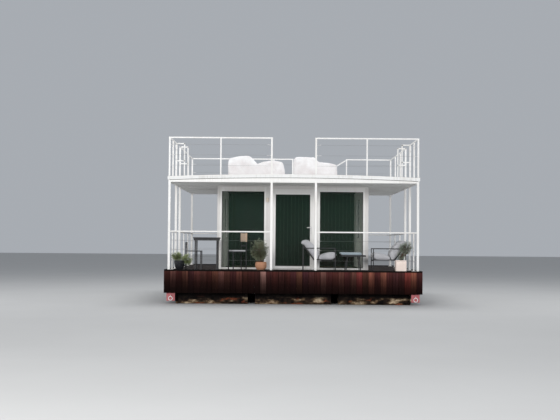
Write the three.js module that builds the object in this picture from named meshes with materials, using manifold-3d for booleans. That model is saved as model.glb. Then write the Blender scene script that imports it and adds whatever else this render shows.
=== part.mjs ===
// A two-level pontoon houseboat: three steel pontoons under a framed deck with a boarded skirt,
// a glazed cabin with one hinged door, white steel posts and rails, and a crowned roof terrace.
// X runs to the right seen from the bow, Y runs aft and Z up. Lengths are in millimetres.
import * as THREE from "three";
import { mergeVertices } from "three/addons/utils/BufferGeometryUtils.js";
import Module from "manifold-3d";

const wasm = await Module();
wasm.setup();

// Driving dimensions. Heights are above the flat pontoon bottoms.
const SEAT = 0.3; // gap between pieces that rest on each other
const BURY = 1; // bars of one piece run this far into each other
const PLATFORM_WIDTH = 6850;
const PLATFORM_LENGTH = 7150;
const PONTOON_TOP = 780;
const DECK_TOP = 1185;
const DECK_THICK = 35;
const POSTS_WIDTH = 6680; // over the outer faces of the corner posts
const POSTS_LENGTH = 6900;
const POST = 60; // square tube of the posts and of the beams on them
const SKIRT_LOW = 590;
const SKIRT_THICK = 60;
const SKIRT_INSET = 5; // the deck edge overhangs the skirt by this much
const BEAM_LOW = DECK_TOP + 2355;
const ROOF_SIDE_TOP = DECK_TOP + 2502;
const ROOF_CROWN = 75; // rise of the roof from its sides to its middle
const ROOF_SLAB = 90;
const ROOF_OVERHANG = 20;
const CEILING = BEAM_LOW + 6;
const CABIN_WIDTH = 4270;
const CABIN_FRONT = -POSTS_LENGTH / 2 + 1700;
const CABIN_REAR = CABIN_FRONT + 4300;
const WALL = 100;
const DECK_RAIL = 1056; // top of the deck rails above the deck
const ROOF_RAIL_TOP = DECK_TOP + 3560;
const RAIL_BAR = 40;
const ROOF_POST = 50;
const WIRE = 6;
const BAY = 590; // middle of the posts beside the bow and stern boarding gaps
const SIDE_POSTS = [-1710, -660]; // posts beside the boarding gap in each side

const HALF_WIDTH = POSTS_WIDTH / 2;
const HALF_LENGTH = POSTS_LENGTH / 2;
const DECK_LOW = DECK_TOP - DECK_THICK;
const STANDING = DECK_TOP + SEAT;

// Finishes: colour, roughness, metalness and, where it is clear, opacity.
const FINISHES = {
  white_steel: [0xf2efe9, 0.4, 0.1],
  white_wall: [0xe6e4e0, 0.6, 0],
  red_oxide: [0x6b2a20, 0.75, 0.2],
  pontoon_steel: [0x8c7355, 0.7, 0.3],
  deck_wood: [0x4a3226, 0.75, 0],
  skirt_wood: [0x4a1c14, 0.7, 0],
  roof_skin: [0xeceae6, 0.6, 0],
  glass: [0x16281f, 0.06, 0, 0.6],
  handle_steel: [0x9a9a98, 0.35, 0.8],
  lamp_metal: [0xb8a894, 0.5, 0.4],
  stair_steel: [0xd8d6d2, 0.5, 0.2],
  bag_fabric: [0xf0f0f6, 0.9, 0],
  cushion_fabric: [0xb9b5bd, 0.95, 0],
  dark_metal: [0x1d1d1f, 0.5, 0.6],
  bowl_ceramic: [0x17181a, 0.4, 0],
  terracotta: [0xc78c6c, 0.8, 0],
  pale_ceramic: [0xf0d4c8, 0.7, 0],
};

function finish(name) {
  const [color, roughness, metalness, opacity = 1] = FINISHES[name];
  return new THREE.MeshStandardMaterial({
    name, color, roughness, metalness, opacity, transparent: opacity < 1,
  });
}

const houseboat = new THREE.Group();

function piece(name, geometry, finishName) {
  const mesh = new THREE.Mesh(geometry, finish(finishName));
  mesh.name = name;
  houseboat.add(mesh);
  return mesh;
}

// A box between a low and a high value on each axis.
function block(x, y, z) {
  const size = ([low, high]) => high - low;
  const middle = ([low, high]) => (low + high) / 2;
  return new THREE.BoxGeometry(size(x), size(y), size(z)).translate(middle(x), middle(y), middle(z));
}

const around = (middle, width) => [middle - width / 2, middle + width / 2];
const shrunk = ([low, high], by) => [low + by, high - by];
const aboveDeck = ([low, high]) => [DECK_TOP + low, DECK_TOP + high];

function outline(points) {
  return new THREE.Shape(points.map(([u, v]) => new THREE.Vector2(u, v)));
}

const AXIS_X = new THREE.Vector3(1, 0, 0);
const AXIS_Y = new THREE.Vector3(0, 1, 0);
const AXIS_Z = new THREE.Vector3(0, 0, 1);

// An outline of Y and Z, extruded along X.
function alongX(points, [low, high], options = {}) {
  const turn = new THREE.Matrix4().makeBasis(AXIS_Y, AXIS_Z, AXIS_X);
  const settings = { depth: high - low, bevelEnabled: false, ...options };
  return new THREE.ExtrudeGeometry(outline(points), settings).applyMatrix4(turn).translate(low, 0, 0);
}

// An outline of X and Z, extruded along Y.
function alongY(points, [low, high], options = {}) {
  const turn = new THREE.Matrix4().makeBasis(AXIS_X, AXIS_Z, AXIS_Y.clone().negate());
  const settings = { depth: high - low, bevelEnabled: false, ...options };
  return new THREE.ExtrudeGeometry(outline(points), settings).applyMatrix4(turn).translate(0, high, 0);
}

// An outline of X and Y, extruded upwards.
function upwards(points, [low, high]) {
  const settings = { depth: high - low, bevelEnabled: false };
  return new THREE.ExtrudeGeometry(outline(points), settings).translate(0, 0, low);
}

// A round bar that stands upright.
function upright(radius, x, y, [low, high], sides = 12) {
  return new THREE.CylinderGeometry(radius, radius, high - low, sides)
    .rotateX(Math.PI / 2)
    .translate(x, y, (low + high) / 2);
}

function solidOf(geometry) {
  const bare = geometry.clone();
  bare.deleteAttribute("normal");
  bare.deleteAttribute("uv");
  const merged = mergeVertices(bare, 1e-3);
  return new wasm.Manifold(new wasm.Mesh({
    numProp: 3,
    vertProperties: merged.attributes.position.array,
    triVerts: new Uint32Array(merged.index.array),
  }));
}

function geometryOf(solid) {
  const mesh = solid.getMesh();
  const geometry = new THREE.BufferGeometry();
  geometry.setAttribute("position", new THREE.BufferAttribute(mesh.vertProperties, 3));
  geometry.setIndex(new THREE.BufferAttribute(mesh.triVerts, 1));
  geometry.computeVertexNormals();
  return geometry;
}

function joined(geometries) {
  return geometryOf(geometries.map(solidOf).reduce((whole, next) => whole.add(next)));
}

function cut(geometry, tools) {
  return geometryOf(tools.map(solidOf).reduce((rest, tool) => rest.subtract(tool), solidOf(geometry)));
}

// A frame of four bars round an opening in X and Z: its outer sizes, then how wide its side
// bars, top bar and bottom bar are.
function ringAcross(outerX, y, outerZ, side, top, bottom) {
  const hole = block(
    [outerX[0] + side, outerX[1] - side],
    [y[0] - 1, y[1] + 1],
    [outerZ[0] + bottom, outerZ[1] - top],
  );
  return cut(block(outerX, y, outerZ), [hole]);
}

// The roof's top surface: straight facets between points on a shallow parabola.
const ROOF_HALF = HALF_WIDTH + ROOF_OVERHANG;
const ROOF_FACETS = 12;
const ROOF_SECTIONS = Array.from(
  { length: ROOF_FACETS + 1 },
  (_, i) => -ROOF_HALF + (2 * ROOF_HALF * i) / ROOF_FACETS,
);

function roofTopAt(x) {
  const curve = (s) => ROOF_SIDE_TOP + ROOF_CROWN * (1 - (s / ROOF_HALF) ** 2);
  const step = (2 * ROOF_HALF) / ROOF_FACETS;
  const low = -ROOF_HALF + step * Math.min(Math.floor((x + ROOF_HALF) / step), ROOF_FACETS - 1);
  const share = (x - low) / step;
  return curve(low) * (1 - share) + curve(low + step) * share;
}

// Points along the crown from the right-hand side to the left-hand side, raised by lift.
function crownLine(half, lift) {
  const inner = ROOF_SECTIONS.filter((x) => Math.abs(x) < half - 1);
  return [half, ...inner.reverse(), -half].map((x) => [x, roofTopAt(x) + lift]);
}

// The lowest level at which something of this half width can stand on the roof.
const roofUnder = (x, half) => roofTopAt(Math.max(0, Math.abs(x) - half)) + SEAT;

// Three closed steel pontoons with raked ends below the water.
const PONTOONS = [
  { name: "pontoon_left", middle: -2170, width: 1920 },
  { name: "pontoon_middle", middle: 0, width: 2020 },
  { name: "pontoon_right", middle: 2170, width: 1920 },
];
const PONTOON_HALF = 3330;
const RAKE = { length: 280, height: 240 };
// The outer pontoons carry a mooring block at each end, under the corners of the platform.
const MOORING_BLOCK = { x: [3100, 3351], y: [3286, 3506], low: 380 };

function addPontoons() {
  const side = [
    [-PONTOON_HALF + RAKE.length, 0],
    [PONTOON_HALF - RAKE.length, 0],
    [PONTOON_HALF, RAKE.height],
    [PONTOON_HALF, PONTOON_TOP],
    [-PONTOON_HALF, PONTOON_TOP],
    [-PONTOON_HALF, RAKE.height],
  ];
  for (const { name, middle, width } of PONTOONS) {
    const blocks = middle === 0 ? [] : [-1, 1].map((end) => {
      const x = MOORING_BLOCK.x.map((value) => Math.sign(middle) * value).sort((a, b) => a - b);
      const y = MOORING_BLOCK.y.map((value) => end * value).sort((a, b) => a - b);
      return block(x, y, [MOORING_BLOCK.low, PONTOON_TOP]);
    });
    piece(name, joined([alongX(side, around(middle, width)), ...blocks]), "pontoon_steel");
  }
}

// The steel grid between the pontoons and the deck.
const FRAME_HALF_X = PLATFORM_WIDTH / 2 - SKIRT_INSET - SKIRT_THICK - SEAT;
const FRAME_HALF_Y = PLATFORM_LENGTH / 2 - SKIRT_INSET - SKIRT_THICK - SEAT;
const BEARERS = [-3050, -2440, -1830, -1220, -610, 0, 610, 1220, 1830, 2440, 3050];
const CROSS_BEAMS = [-1740, 0, 1740];

function addPlatformFrame() {
  const z = [PONTOON_TOP + SEAT, DECK_LOW - SEAT];
  const linesX = [-FRAME_HALF_X + POST / 2, ...BEARERS, FRAME_HALF_X - POST / 2];
  const linesY = [-FRAME_HALF_Y + POST / 2, ...CROSS_BEAMS, FRAME_HALF_Y - POST / 2];
  const cells = [];
  for (let i = 1; i < linesX.length; i += 1) {
    for (let j = 1; j < linesY.length; j += 1) {
      const x = shrunk([linesX[i - 1], linesX[i]], POST / 2);
      const y = shrunk([linesY[j - 1], linesY[j]], POST / 2);
      cells.push(block(x, y, shrunk(z, -10)));
    }
  }
  const spanX = [-FRAME_HALF_X, FRAME_HALF_X];
  const spanY = [-FRAME_HALF_Y, FRAME_HALF_Y];
  piece("platform_frame", cut(block(spanX, spanY, z), cells), "red_oxide");
}

// The deck, with a thin boarding plate on its edge at the gap in each side.
const BOARDING = { edge: 8, deep: 150, thick: 4, side: 20 };

function addDeck() {
  const board = block(around(0, PLATFORM_WIDTH), around(0, PLATFORM_LENGTH), [DECK_LOW, DECK_TOP]);
  const z = [DECK_TOP - BURY, DECK_TOP + BOARDING.thick];
  const between = ([low, high]) => shrunk([low, high], POST / 2 + BOARDING.side);
  const middleX = PLATFORM_WIDTH / 2 - BOARDING.edge - BOARDING.deep / 2;
  const middleY = PLATFORM_LENGTH / 2 - BOARDING.edge - BOARDING.deep / 2;
  const plates = [-1, 1].flatMap((end) => [
    block(between([-BAY, BAY]), around(end * middleY, BOARDING.deep), z),
    block(around(end * middleX, BOARDING.deep), between(SIDE_POSTS), z),
  ]);
  piece("deck", joined([board, ...plates]), "deck_wood");
}

// Vertical boards side by side: each stands a little more or less proud, with a groove between.
const BOARD = { groove: 5, depth: 22 };
const PROUD = [0, 3, 1, 5, 2, 4, 0, 2, 5, 1];

function boardedOutline(length, count) {
  const pitch = length / count;
  const face = [];
  for (let i = 0; i < count; i += 1) {
    const low = -length / 2 + i * pitch + (i ? BOARD.groove : 0);
    const high = -length / 2 + (i + 1) * pitch;
    const outer = PROUD[i % PROUD.length];
    face.push([low, outer], [high, outer]);
    if (i < count - 1) face.push([high, BOARD.depth], [high + BOARD.groove, BOARD.depth]);
  }
  return [...face, [length / 2, SKIRT_THICK], [-length / 2, SKIRT_THICK]];
}

function addSkirts() {
  const outerX = PLATFORM_WIDTH / 2 - SKIRT_INSET;
  const outerY = PLATFORM_LENGTH / 2 - SKIRT_INSET;
  const across = boardedOutline(2 * outerX, 43);
  const lengthwise = boardedOutline(2 * (outerY - SKIRT_THICK - SEAT), 44);
  // Name, outline, quarter turns about Z and the distance of the face from the middle.
  const sides = [
    ["skirt_front", across, 0, outerY],
    ["skirt_right", lengthwise, 1, outerX],
    ["skirt_rear", across, 2, outerY],
    ["skirt_left", lengthwise, 3, outerX],
  ];
  for (const [name, points, quarters, distance] of sides) {
    const boards = upwards(points, [SKIRT_LOW, DECK_LOW - SEAT]).translate(0, -distance, 0);
    const mesh = piece(name, boards, "skirt_wood");
    mesh.rotation.z = (quarters * Math.PI) / 2;
  }
}

// White frames that carry the roof: each is a row of posts under one beam.
function addPortals() {
  const postX = HALF_WIDTH - POST / 2;
  const postY = HALF_LENGTH - POST / 2;
  const post = (x, y) => block(around(x, POST), around(y, POST), [STANDING, BEAM_LOW + 2]);
  for (const [name, y] of [["portal_front", -postY], ["portal_rear", postY]]) {
    const top = crownLine(HALF_WIDTH, -ROOF_SLAB - SEAT);
    const beam = alongY([[-HALF_WIDTH, BEAM_LOW], [HALF_WIDTH, BEAM_LOW], ...top], around(y, POST));
    const posts = [-postX, -BAY, BAY, postX].map((x) => post(x, y));
    piece(name, joined([beam, ...posts]), "white_steel");
  }
  const beamTop = roofTopAt(HALF_WIDTH) - ROOF_SLAB - SEAT;
  const between = around(0, POSTS_LENGTH - 2 * POST - 2 * SEAT);
  for (const [name, x] of [["portal_left", -postX], ["portal_right", postX]]) {
    const beam = block(around(x, POST), between, [BEAM_LOW, beamTop]);
    piece(name, joined([beam, ...SIDE_POSTS.map((y) => post(x, y))]), "white_steel");
  }
}

// The stair rises to the right through a hole at the roof's rear edge.
const STAIR_HOLE = { x: [60, 1820], y: [2660, 3375] };

function addRoof() {
  const slabLow = crownLine(ROOF_HALF, -ROOF_SLAB).reverse();
  const slab = alongY(
    [...slabLow, ...crownLine(ROOF_HALF, 0)],
    around(0, POSTS_LENGTH + 2 * ROOF_OVERHANG),
  );
  const coreHalf = HALF_WIDTH - POST - SEAT;
  const core = alongY(
    [[-coreHalf, CEILING], [coreHalf, CEILING], ...crownLine(coreHalf, -ROOF_SLAB + 10)],
    around(0, POSTS_LENGTH - 2 * POST - 2 * SEAT),
  );
  const hole = block(STAIR_HOLE.x, STAIR_HOLE.y, [CEILING - 50, ROOF_RAIL_TOP]);
  piece("roof", cut(joined([slab, core]), [hole]), "roof_skin");
}

// Openings of the cabin. Heights are above the deck.
const DOOR = { half: 600, top: 2268, frame: 45, gap: 8 };
const FRONT_WINDOW = {
  left: [-2065, -755], right: [710, 2041], top: 2320, side: 55, head: 120, sill: 50,
};
const SIDE_WINDOW = { y: [100, 1400], z: [850, 2150], bar: 60 };
const REAR_WINDOW = { x: [-1760, -560], z: [850, 2150], bar: 60 };
const GLASS_THICK = 24;
const FRAME_PROUD = 12;

function addCabinWalls() {
  const half = CABIN_WIDTH / 2;
  const height = [STANDING, CEILING - SEAT];
  const through = [CABIN_FRONT - 10, CABIN_FRONT + WALL + 10];
  const below = STANDING - 50;
  const { left, right, top } = FRONT_WINDOW;
  const frontHoles = [
    block([-DOOR.half - SEAT, DOOR.half + SEAT], through, [below, DECK_TOP + DOOR.top + SEAT]),
    block(shrunk(left, -SEAT), through, [below, DECK_TOP + top + SEAT]),
    block(shrunk(right, -SEAT), through, [below, DECK_TOP + top + SEAT]),
  ];
  const front = block([-half, half], [CABIN_FRONT, CABIN_FRONT + WALL], height);
  piece("wall_front", cut(front, frontHoles), "white_wall");

  const { y, z, bar } = SIDE_WINDOW;
  const sideSpan = [CABIN_FRONT + WALL + SEAT, CABIN_REAR - WALL - SEAT];
  for (const [name, side] of [["wall_left", -1], ["wall_right", 1]]) {
    const low = half - WALL;
    const wallX = side < 0 ? [-half, -low] : [low, half];
    const trimX = side < 0 ? [-half - FRAME_PROUD, -low] : [low, half + FRAME_PROUD];
    const holeX = side < 0 ? [-half - 50, -low + 50] : [low - 50, half + 50];
    const panel = joined([block(wallX, sideSpan, height), block(trimX, y, aboveDeck(z))]);
    const hole = block(holeX, shrunk(y, bar), shrunk(aboveDeck(z), bar));
    piece(name, cut(panel, [hole]), "white_wall");
  }

  const rearY = [CABIN_REAR - WALL, CABIN_REAR];
  const rear = joined([
    block([-half, half], rearY, height),
    block(REAR_WINDOW.x, [rearY[0], rearY[1] + FRAME_PROUD], aboveDeck(REAR_WINDOW.z)),
  ]);
  const rearHole = block(
    shrunk(REAR_WINDOW.x, REAR_WINDOW.bar),
    [rearY[0] - 50, rearY[1] + 50],
    shrunk(aboveDeck(REAR_WINDOW.z), REAR_WINDOW.bar),
  );
  piece("wall_rear", cut(rear, [rearHole]), "white_wall");
}

function addWindows() {
  const { left, right, top, side, head, sill } = FRONT_WINDOW;
  const frameY = [CABIN_FRONT - 7, CABIN_FRONT + 70];
  const glassY = around(CABIN_FRONT + 37, GLASS_THICK);
  for (const [name, x] of [["left", left], ["right", right]]) {
    const z = [STANDING, DECK_TOP + top];
    const frame = ringAcross(x, frameY, z, side, head, sill);
    const glass = block(shrunk(x, side + SEAT), glassY, [z[0] + sill + SEAT, z[1] - head - SEAT]);
    piece(`window_frame_front_${name}`, frame, "white_steel");
    piece(`window_glass_front_${name}`, glass, "glass");
  }
  const half = CABIN_WIDTH / 2;
  const sideY = shrunk(SIDE_WINDOW.y, SIDE_WINDOW.bar + SEAT);
  const sideZ = shrunk(aboveDeck(SIDE_WINDOW.z), SIDE_WINDOW.bar + SEAT);
  piece("window_glass_left", block(around(-half + WALL / 2, GLASS_THICK), sideY, sideZ), "glass");
  piece("window_glass_right", block(around(half - WALL / 2, GLASS_THICK), sideY, sideZ), "glass");
  const rearX = shrunk(REAR_WINDOW.x, REAR_WINDOW.bar + SEAT);
  const rearZ = shrunk(aboveDeck(REAR_WINDOW.z), REAR_WINDOW.bar + SEAT);
  piece("window_glass_rear", block(rearX, around(CABIN_REAR - WALL / 2, GLASS_THICK), rearZ), "glass");
}

// The door opens inwards on three hinges at its left edge.
const LEAF = { thick: 56, stile: 58, top: 95, bottom: 70, inner: CABIN_FRONT + 80 };
const HINGE = { x: -551, y: LEAF.inner + 10, radius: 9, knuckle: 50, heights: [200, 1050, 1900] };
const STOP = { cover: 14, deep: 20 };
const THRESHOLD = 18;
const HANDLE = { x: 517, height: 1186, lever: 120, stand: 48, plateLow: 1006, plateHigh: 1216 };
const SPINDLE = 10;

function hingeSide(low, high, towards) {
  const web = towards < 0 ? [HINGE.x - 24, HINGE.x] : [HINGE.x, HINGE.x + 24];
  return [
    upright(HINGE.radius, HINGE.x, HINGE.y, [low, high]),
    block(web, [LEAF.inner - BURY, HINGE.y + 3], [low, high]),
  ];
}

function addDoor() {
  const head = DECK_TOP + DOOR.top;
  const jambFace = DOOR.half - DOOR.frame;
  const frameY = [CABIN_FRONT - 2, LEAF.inner];
  const stopY = [frameY[0], frameY[0] + STOP.deep];
  const inside = block([-jambFace, jambFace], [-1e4, 1e4], [0, head - DOOR.frame]);
  const clear = block(
    [-jambFace + STOP.cover, jambFace - STOP.cover],
    [-1e4, 1e4],
    [0, head - DOOR.frame - STOP.cover],
  );
  const frameParts = [
    cut(block([-DOOR.half, DOOR.half], frameY, [STANDING, head]), [inside]),
    cut(block([-DOOR.half, DOOR.half], stopY, [STANDING, head]), [clear]),
    block([-DOOR.half, DOOR.half], frameY, [STANDING, DECK_TOP + THRESHOLD]),
  ];
  const leafParts = [];
  for (const height of HINGE.heights) {
    const low = DECK_TOP + height;
    const middle = low + HINGE.knuckle;
    frameParts.push(...hingeSide(low, middle, -1));
    leafParts.push(...hingeSide(middle + SEAT, middle + HINGE.knuckle, 1));
  }
  piece("door_frame", joined(frameParts), "white_steel");

  const half = jambFace - DOOR.gap;
  const leafY = [LEAF.inner - LEAF.thick, LEAF.inner];
  const leafZ = [DECK_TOP + THRESHOLD + DOOR.gap, head - DOOR.frame - DOOR.gap];
  const ring = ringAcross([-half, half], leafY, leafZ, LEAF.stile, LEAF.top, LEAF.bottom);
  const spindleZ = around(DECK_TOP + HANDLE.height, SPINDLE + 2 * SEAT);
  const bore = block(around(HANDLE.x, SPINDLE + 2 * SEAT), shrunk(leafY, -10), spindleZ);
  piece("door_leaf", cut(joined([ring, ...leafParts]), [bore]), "white_steel");

  const glassX = shrunk([-half, half], LEAF.stile + SEAT);
  const glassZ = [leafZ[0] + LEAF.bottom + SEAT, leafZ[1] - LEAF.top - SEAT];
  const glassY = around(LEAF.inner - LEAF.thick / 2, GLASS_THICK);
  piece("door_glass", block(glassX, glassY, glassZ), "glass");

  const level = DECK_TOP + HANDLE.height;
  const outerY = leafY[0] - SEAT;
  const innerY = leafY[1] + SEAT;
  const leverX = [HANDLE.x - HANDLE.lever, HANDLE.x + 9];
  const plateX = around(HANDLE.x, 28);
  const plateZ = aboveDeck([HANDLE.plateLow, HANDLE.plateHigh]);
  const reach = HANDLE.stand + 8;
  piece("door_handle", joined([
    block(around(HANDLE.x, SPINDLE), [outerY - reach, innerY + reach], around(level, SPINDLE)),
    block(plateX, [outerY - 8, outerY], plateZ),
    block(plateX, [innerY, innerY + 8], plateZ),
    block(leverX, [outerY - reach - 8, outerY - reach + 8], around(level, 18)),
    block(leverX, [innerY + reach - 8, innerY + reach + 8], around(level, 18)),
  ]), "handle_steel");
}

function addWallLamp() {
  const lamp = { x: -720, height: 1960, radius: 34, tall: 120 };
  const z = around(DECK_TOP + lamp.height, lamp.tall);
  const face = CABIN_FRONT - SEAT;
  piece("wall_lamp", joined([
    block(around(lamp.x, 60), [face - 14, face], around(DECK_TOP + lamp.height, 90)),
    upright(lamp.radius, lamp.x, face - 12 - lamp.radius, z, 16),
  ]), "lamp_metal");
}

// A bar between two values of one axis, centred on a line of the other.
function barAlong(axis, span, line, thick, z) {
  return axis === "x" ? block(span, around(line, thick), z) : block(around(line, thick), span, z);
}

// Deck rails: a top bar and three wires between thin end plates, with posts where a bay is long.
const DECK_WIRES = [277, 551, 801];
const END_PLATE = { thick: 10, wide: 24, below: 20 }; // it reaches below the lowest wire
const railX = HALF_WIDTH - POST / 2;
const railY = HALF_LENGTH - POST / 2;
const bowBay = [-HALF_WIDTH + POST, -BAY - POST / 2];
const sideBays = {
  front: [-HALF_LENGTH + POST, SIDE_POSTS[0] - POST / 2],
  rear: [SIDE_POSTS[1] + POST / 2, HALF_LENGTH - POST],
};
const mirrored = ([low, high]) => [-high, -low];
// Name, axis it runs along, span, line it stands on and the places of its own posts.
const DECK_RAILS = [
  ["deck_rail_front_left", "x", bowBay, -railY, []],
  ["deck_rail_front_right", "x", mirrored(bowBay), -railY, []],
  ["deck_rail_left_front", "y", sideBays.front, -railX, [-2580]],
  ["deck_rail_left_rear", "y", sideBays.rear, -railX, [680, 2020]],
  ["deck_rail_right_front", "y", sideBays.front, railX, [-2580]],
  ["deck_rail_right_rear", "y", sideBays.rear, railX, [680, 2020]],
  ["deck_rail_rear_left", "x", bowBay, railY, []],
  ["deck_rail_rear_right", "x", mirrored(bowBay), railY, []],
];

function addDeckRails() {
  const top = DECK_TOP + DECK_RAIL;
  for (const [name, axis, bay, line, posts] of DECK_RAILS) {
    const [low, high] = shrunk(bay, SEAT);
    const plateZ = [DECK_TOP + DECK_WIRES[0] - END_PLATE.below, top - BURY];
    const parts = [
      barAlong(axis, [low, high], line, RAIL_BAR, [top - RAIL_BAR, top]),
      barAlong(axis, [low, low + END_PLATE.thick], line, END_PLATE.wide, plateZ),
      barAlong(axis, [high - END_PLATE.thick, high], line, END_PLATE.wide, plateZ),
      ...posts.map((at) => barAlong(axis, around(at, RAIL_BAR), line, RAIL_BAR, [STANDING, top - BURY])),
      ...DECK_WIRES.map((h) => barAlong(axis, [low, high], line, WIRE, around(DECK_TOP + h, WIRE))),
    ];
    piece(name, joined(parts), "white_steel");
  }
}

// Roof rails stand on the crowned roof. Returns turn inwards beside the gap in each side.
const ROOF_WIRES = [200, 480, 760]; // below the top of the rail
const RETURN = { reach: 250, mid: 490 };
const roofX = HALF_WIDTH - ROOF_POST / 2;
const roofY = HALF_LENGTH - ROOF_POST / 2;
const roofBow = [-HALF_WIDTH, -BAY + ROOF_POST / 2];
const STAIR_POSTS = [40, 1840]; // posts of the rear rail beside the stair
// Name, axis it runs along, span, line it stands on, its posts and the post with a return.
const ROOF_RAILS = [
  ["roof_rail_front_left", "x", roofBow, -roofY, [-roofX, -1950, -BAY]],
  ["roof_rail_front_right", "x", mirrored(roofBow), -roofY, [BAY, 1950, roofX]],
  ["roof_rail_rear_left", "x", [-HALF_WIDTH, 65], roofY, [-roofX, -1950, -BAY, STAIR_POSTS[0]]],
  ["roof_rail_rear_right", "x", [1815, HALF_WIDTH], roofY, [STAIR_POSTS[1], roofX]],
  ...[["left", -roofX], ["right", roofX]].flatMap(([side, x]) => [
    [
      `roof_rail_${side}_front`, "y",
      [-HALF_LENGTH + ROOF_POST + SEAT, SIDE_POSTS[0] + ROOF_POST / 2],
      x, [-2580, SIDE_POSTS[0]], SIDE_POSTS[0],
    ],
    [
      `roof_rail_${side}_rear`, "y",
      [SIDE_POSTS[1] - ROOF_POST / 2, HALF_LENGTH - ROOF_POST - SEAT],
      x, [SIDE_POSTS[1], 680, 2020], SIDE_POSTS[1],
    ],
  ]),
];

function returnFrame(x, y) {
  const inward = -Math.sign(x);
  const end = x + inward * RETURN.reach;
  const spanX = [Math.min(x, end), Math.max(x, end)];
  const barZ = (top) => [top - RAIL_BAR, top];
  const endX = end - (inward * RAIL_BAR) / 2;
  const endZ = [roofUnder(endX, RAIL_BAR / 2), ROOF_RAIL_TOP - BURY];
  return [
    block(spanX, around(y, RAIL_BAR), barZ(ROOF_RAIL_TOP)),
    block(spanX, around(y, RAIL_BAR), barZ(ROOF_RAIL_TOP - RETURN.mid)),
    block(around(endX, RAIL_BAR), around(y, RAIL_BAR), endZ),
  ];
}

function addRoofRails() {
  for (const [name, axis, span, line, posts, turn] of ROOF_RAILS) {
    const isCorner = (at) => axis === "x" && Math.abs(at) > roofX - 1;
    const parts = [barAlong(axis, span, line, RAIL_BAR, [ROOF_RAIL_TOP - RAIL_BAR, ROOF_RAIL_TOP])];
    for (const at of posts) {
      const width = isCorner(at) || Math.abs(at) <= BAY || at === turn ? ROOF_POST : RAIL_BAR;
      const low = roofUnder(axis === "x" ? at : line, width / 2);
      parts.push(barAlong(axis, around(at, width), line, width, [low, ROOF_RAIL_TOP - BURY]));
    }
    for (const down of ROOF_WIRES) {
      const ends = [Math.min(...posts), Math.max(...posts)];
      const wireSpan = axis === "y" ? span : ends;
      parts.push(barAlong(axis, wireSpan, line, WIRE, around(ROOF_RAIL_TOP - down, WIRE)));
    }
    if (axis === "y") {
      // A thin plate holds the wires where this rail meets the corner post of the next one.
      const [low, high] = span;
      const isForward = low < -HALF_LENGTH / 2;
      const edge = isForward ? [low, low + END_PLATE.thick] : [high - END_PLATE.thick, high];
      const plateLow = ROOF_RAIL_TOP - ROOF_WIRES[2] - END_PLATE.below;
      parts.push(barAlong(axis, edge, line, END_PLATE.wide, [plateLow, ROOF_RAIL_TOP - BURY]));
      parts.push(...returnFrame(line, turn));
    }
    piece(name, joined(parts), "white_steel");
  }
}

// A steep stair from the aft deck to the roof, with a handrail on its outer side.
const STAIR = {
  foot: -340, risers: 11, deep: 220, tread: 215, thick: 30, y: [2700, 3335], string: 30,
};
const HANDRAIL = {
  bend: [1480, 4515], end: [1800, 4712], foot: 950, thick: 34, balusters: [-230, 330, 900],
};

function addStair() {
  const topX = STAIR_HOLE.x[1] - SEAT;
  const topZ = roofTopAt(topX) - 5;
  const slope = (topZ - DECK_TOP) / (topX - STAIR.foot);
  const noseAt = (x) => DECK_TOP + slope * (x - STAIR.foot);
  const string = [
    [STAIR.foot, STANDING],
    [STAIR.foot + STAIR.deep / slope, STANDING],
    [topX, topZ - STAIR.deep],
    [topX, topZ],
  ];
  const [nearY, farY] = STAIR.y;
  const parts = [
    alongY(string, [nearY, nearY + STAIR.string]),
    alongY(string, [farY - STAIR.string, farY]),
  ];
  for (let i = 1; i < STAIR.risers; i += 1) {
    const share = i / STAIR.risers;
    const x = STAIR.foot + share * (topX - STAIR.foot);
    const z = DECK_TOP + share * (topZ - DECK_TOP);
    parts.push(block([x, x + STAIR.tread], [nearY + 5, farY - 5], [z - STAIR.thick, z]));
  }
  const footX = HANDRAIL.balusters[0];
  const line = [[footX, noseAt(footX) + HANDRAIL.foot], HANDRAIL.bend, HANDRAIL.end];
  const under = line.map(([x, z]) => [x, z - HANDRAIL.thick * 1.5]).reverse();
  const railSpan = [farY - HANDRAIL.thick, farY];
  parts.push(alongY([...under, ...line].reverse(), railSpan));
  const [low, bend] = line;
  for (const x of [...HANDRAIL.balusters, HANDRAIL.bend[0]]) {
    const share = (x - low[0]) / (bend[0] - low[0]);
    const top = low[1] + share * (bend[1] - low[1]);
    const wide = x === footX ? [x, x + HANDRAIL.thick] : around(x, HANDRAIL.thick);
    parts.push(block(wide, railSpan, [noseAt(x) - 60, top - 20]));
  }
  piece("stair", joined(parts), "stair_steel");
}

// Two bean bag loungers on the roof, each a rounded body of this side outline.
const BAG = { y: [-700, 150], round: 90 };
// Points of X and height above the roof, along the top from left to right.
const BAG_LEFT = [
  [-1930, 0], [-240, 0], [-235, 303], [-310, 553], [-590, 598], [-850, 573],
  [-1050, 538], [-1200, 673], [-1300, 735], [-1560, 717], [-1880, 663], [-1935, 553],
];
const BAG_RIGHT = [
  [35, 0], [1300, 0], [1310, 213], [1290, 483], [990, 543], [740, 573],
  [640, 698], [360, 711], [65, 698], [25, 563],
];

function addBeanBags() {
  for (const [name, points] of [["bean_bag_left", BAG_LEFT], ["bean_bag_right", BAG_RIGHT]]) {
    const standing = roofUnder(Math.min(...points.map(([x]) => Math.abs(x))), 0);
    const side = points.map(([x, height]) => [x, standing + height]);
    const rounding = {
      bevelEnabled: true, bevelSize: BAG.round, bevelThickness: BAG.round,
      bevelOffset: -BAG.round, bevelSegments: 2,
    };
    const bag = alongY(side, shrunk(BAG.y, BAG.round), rounding);
    piece(name, bag, "bag_fabric");
  }
}

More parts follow.
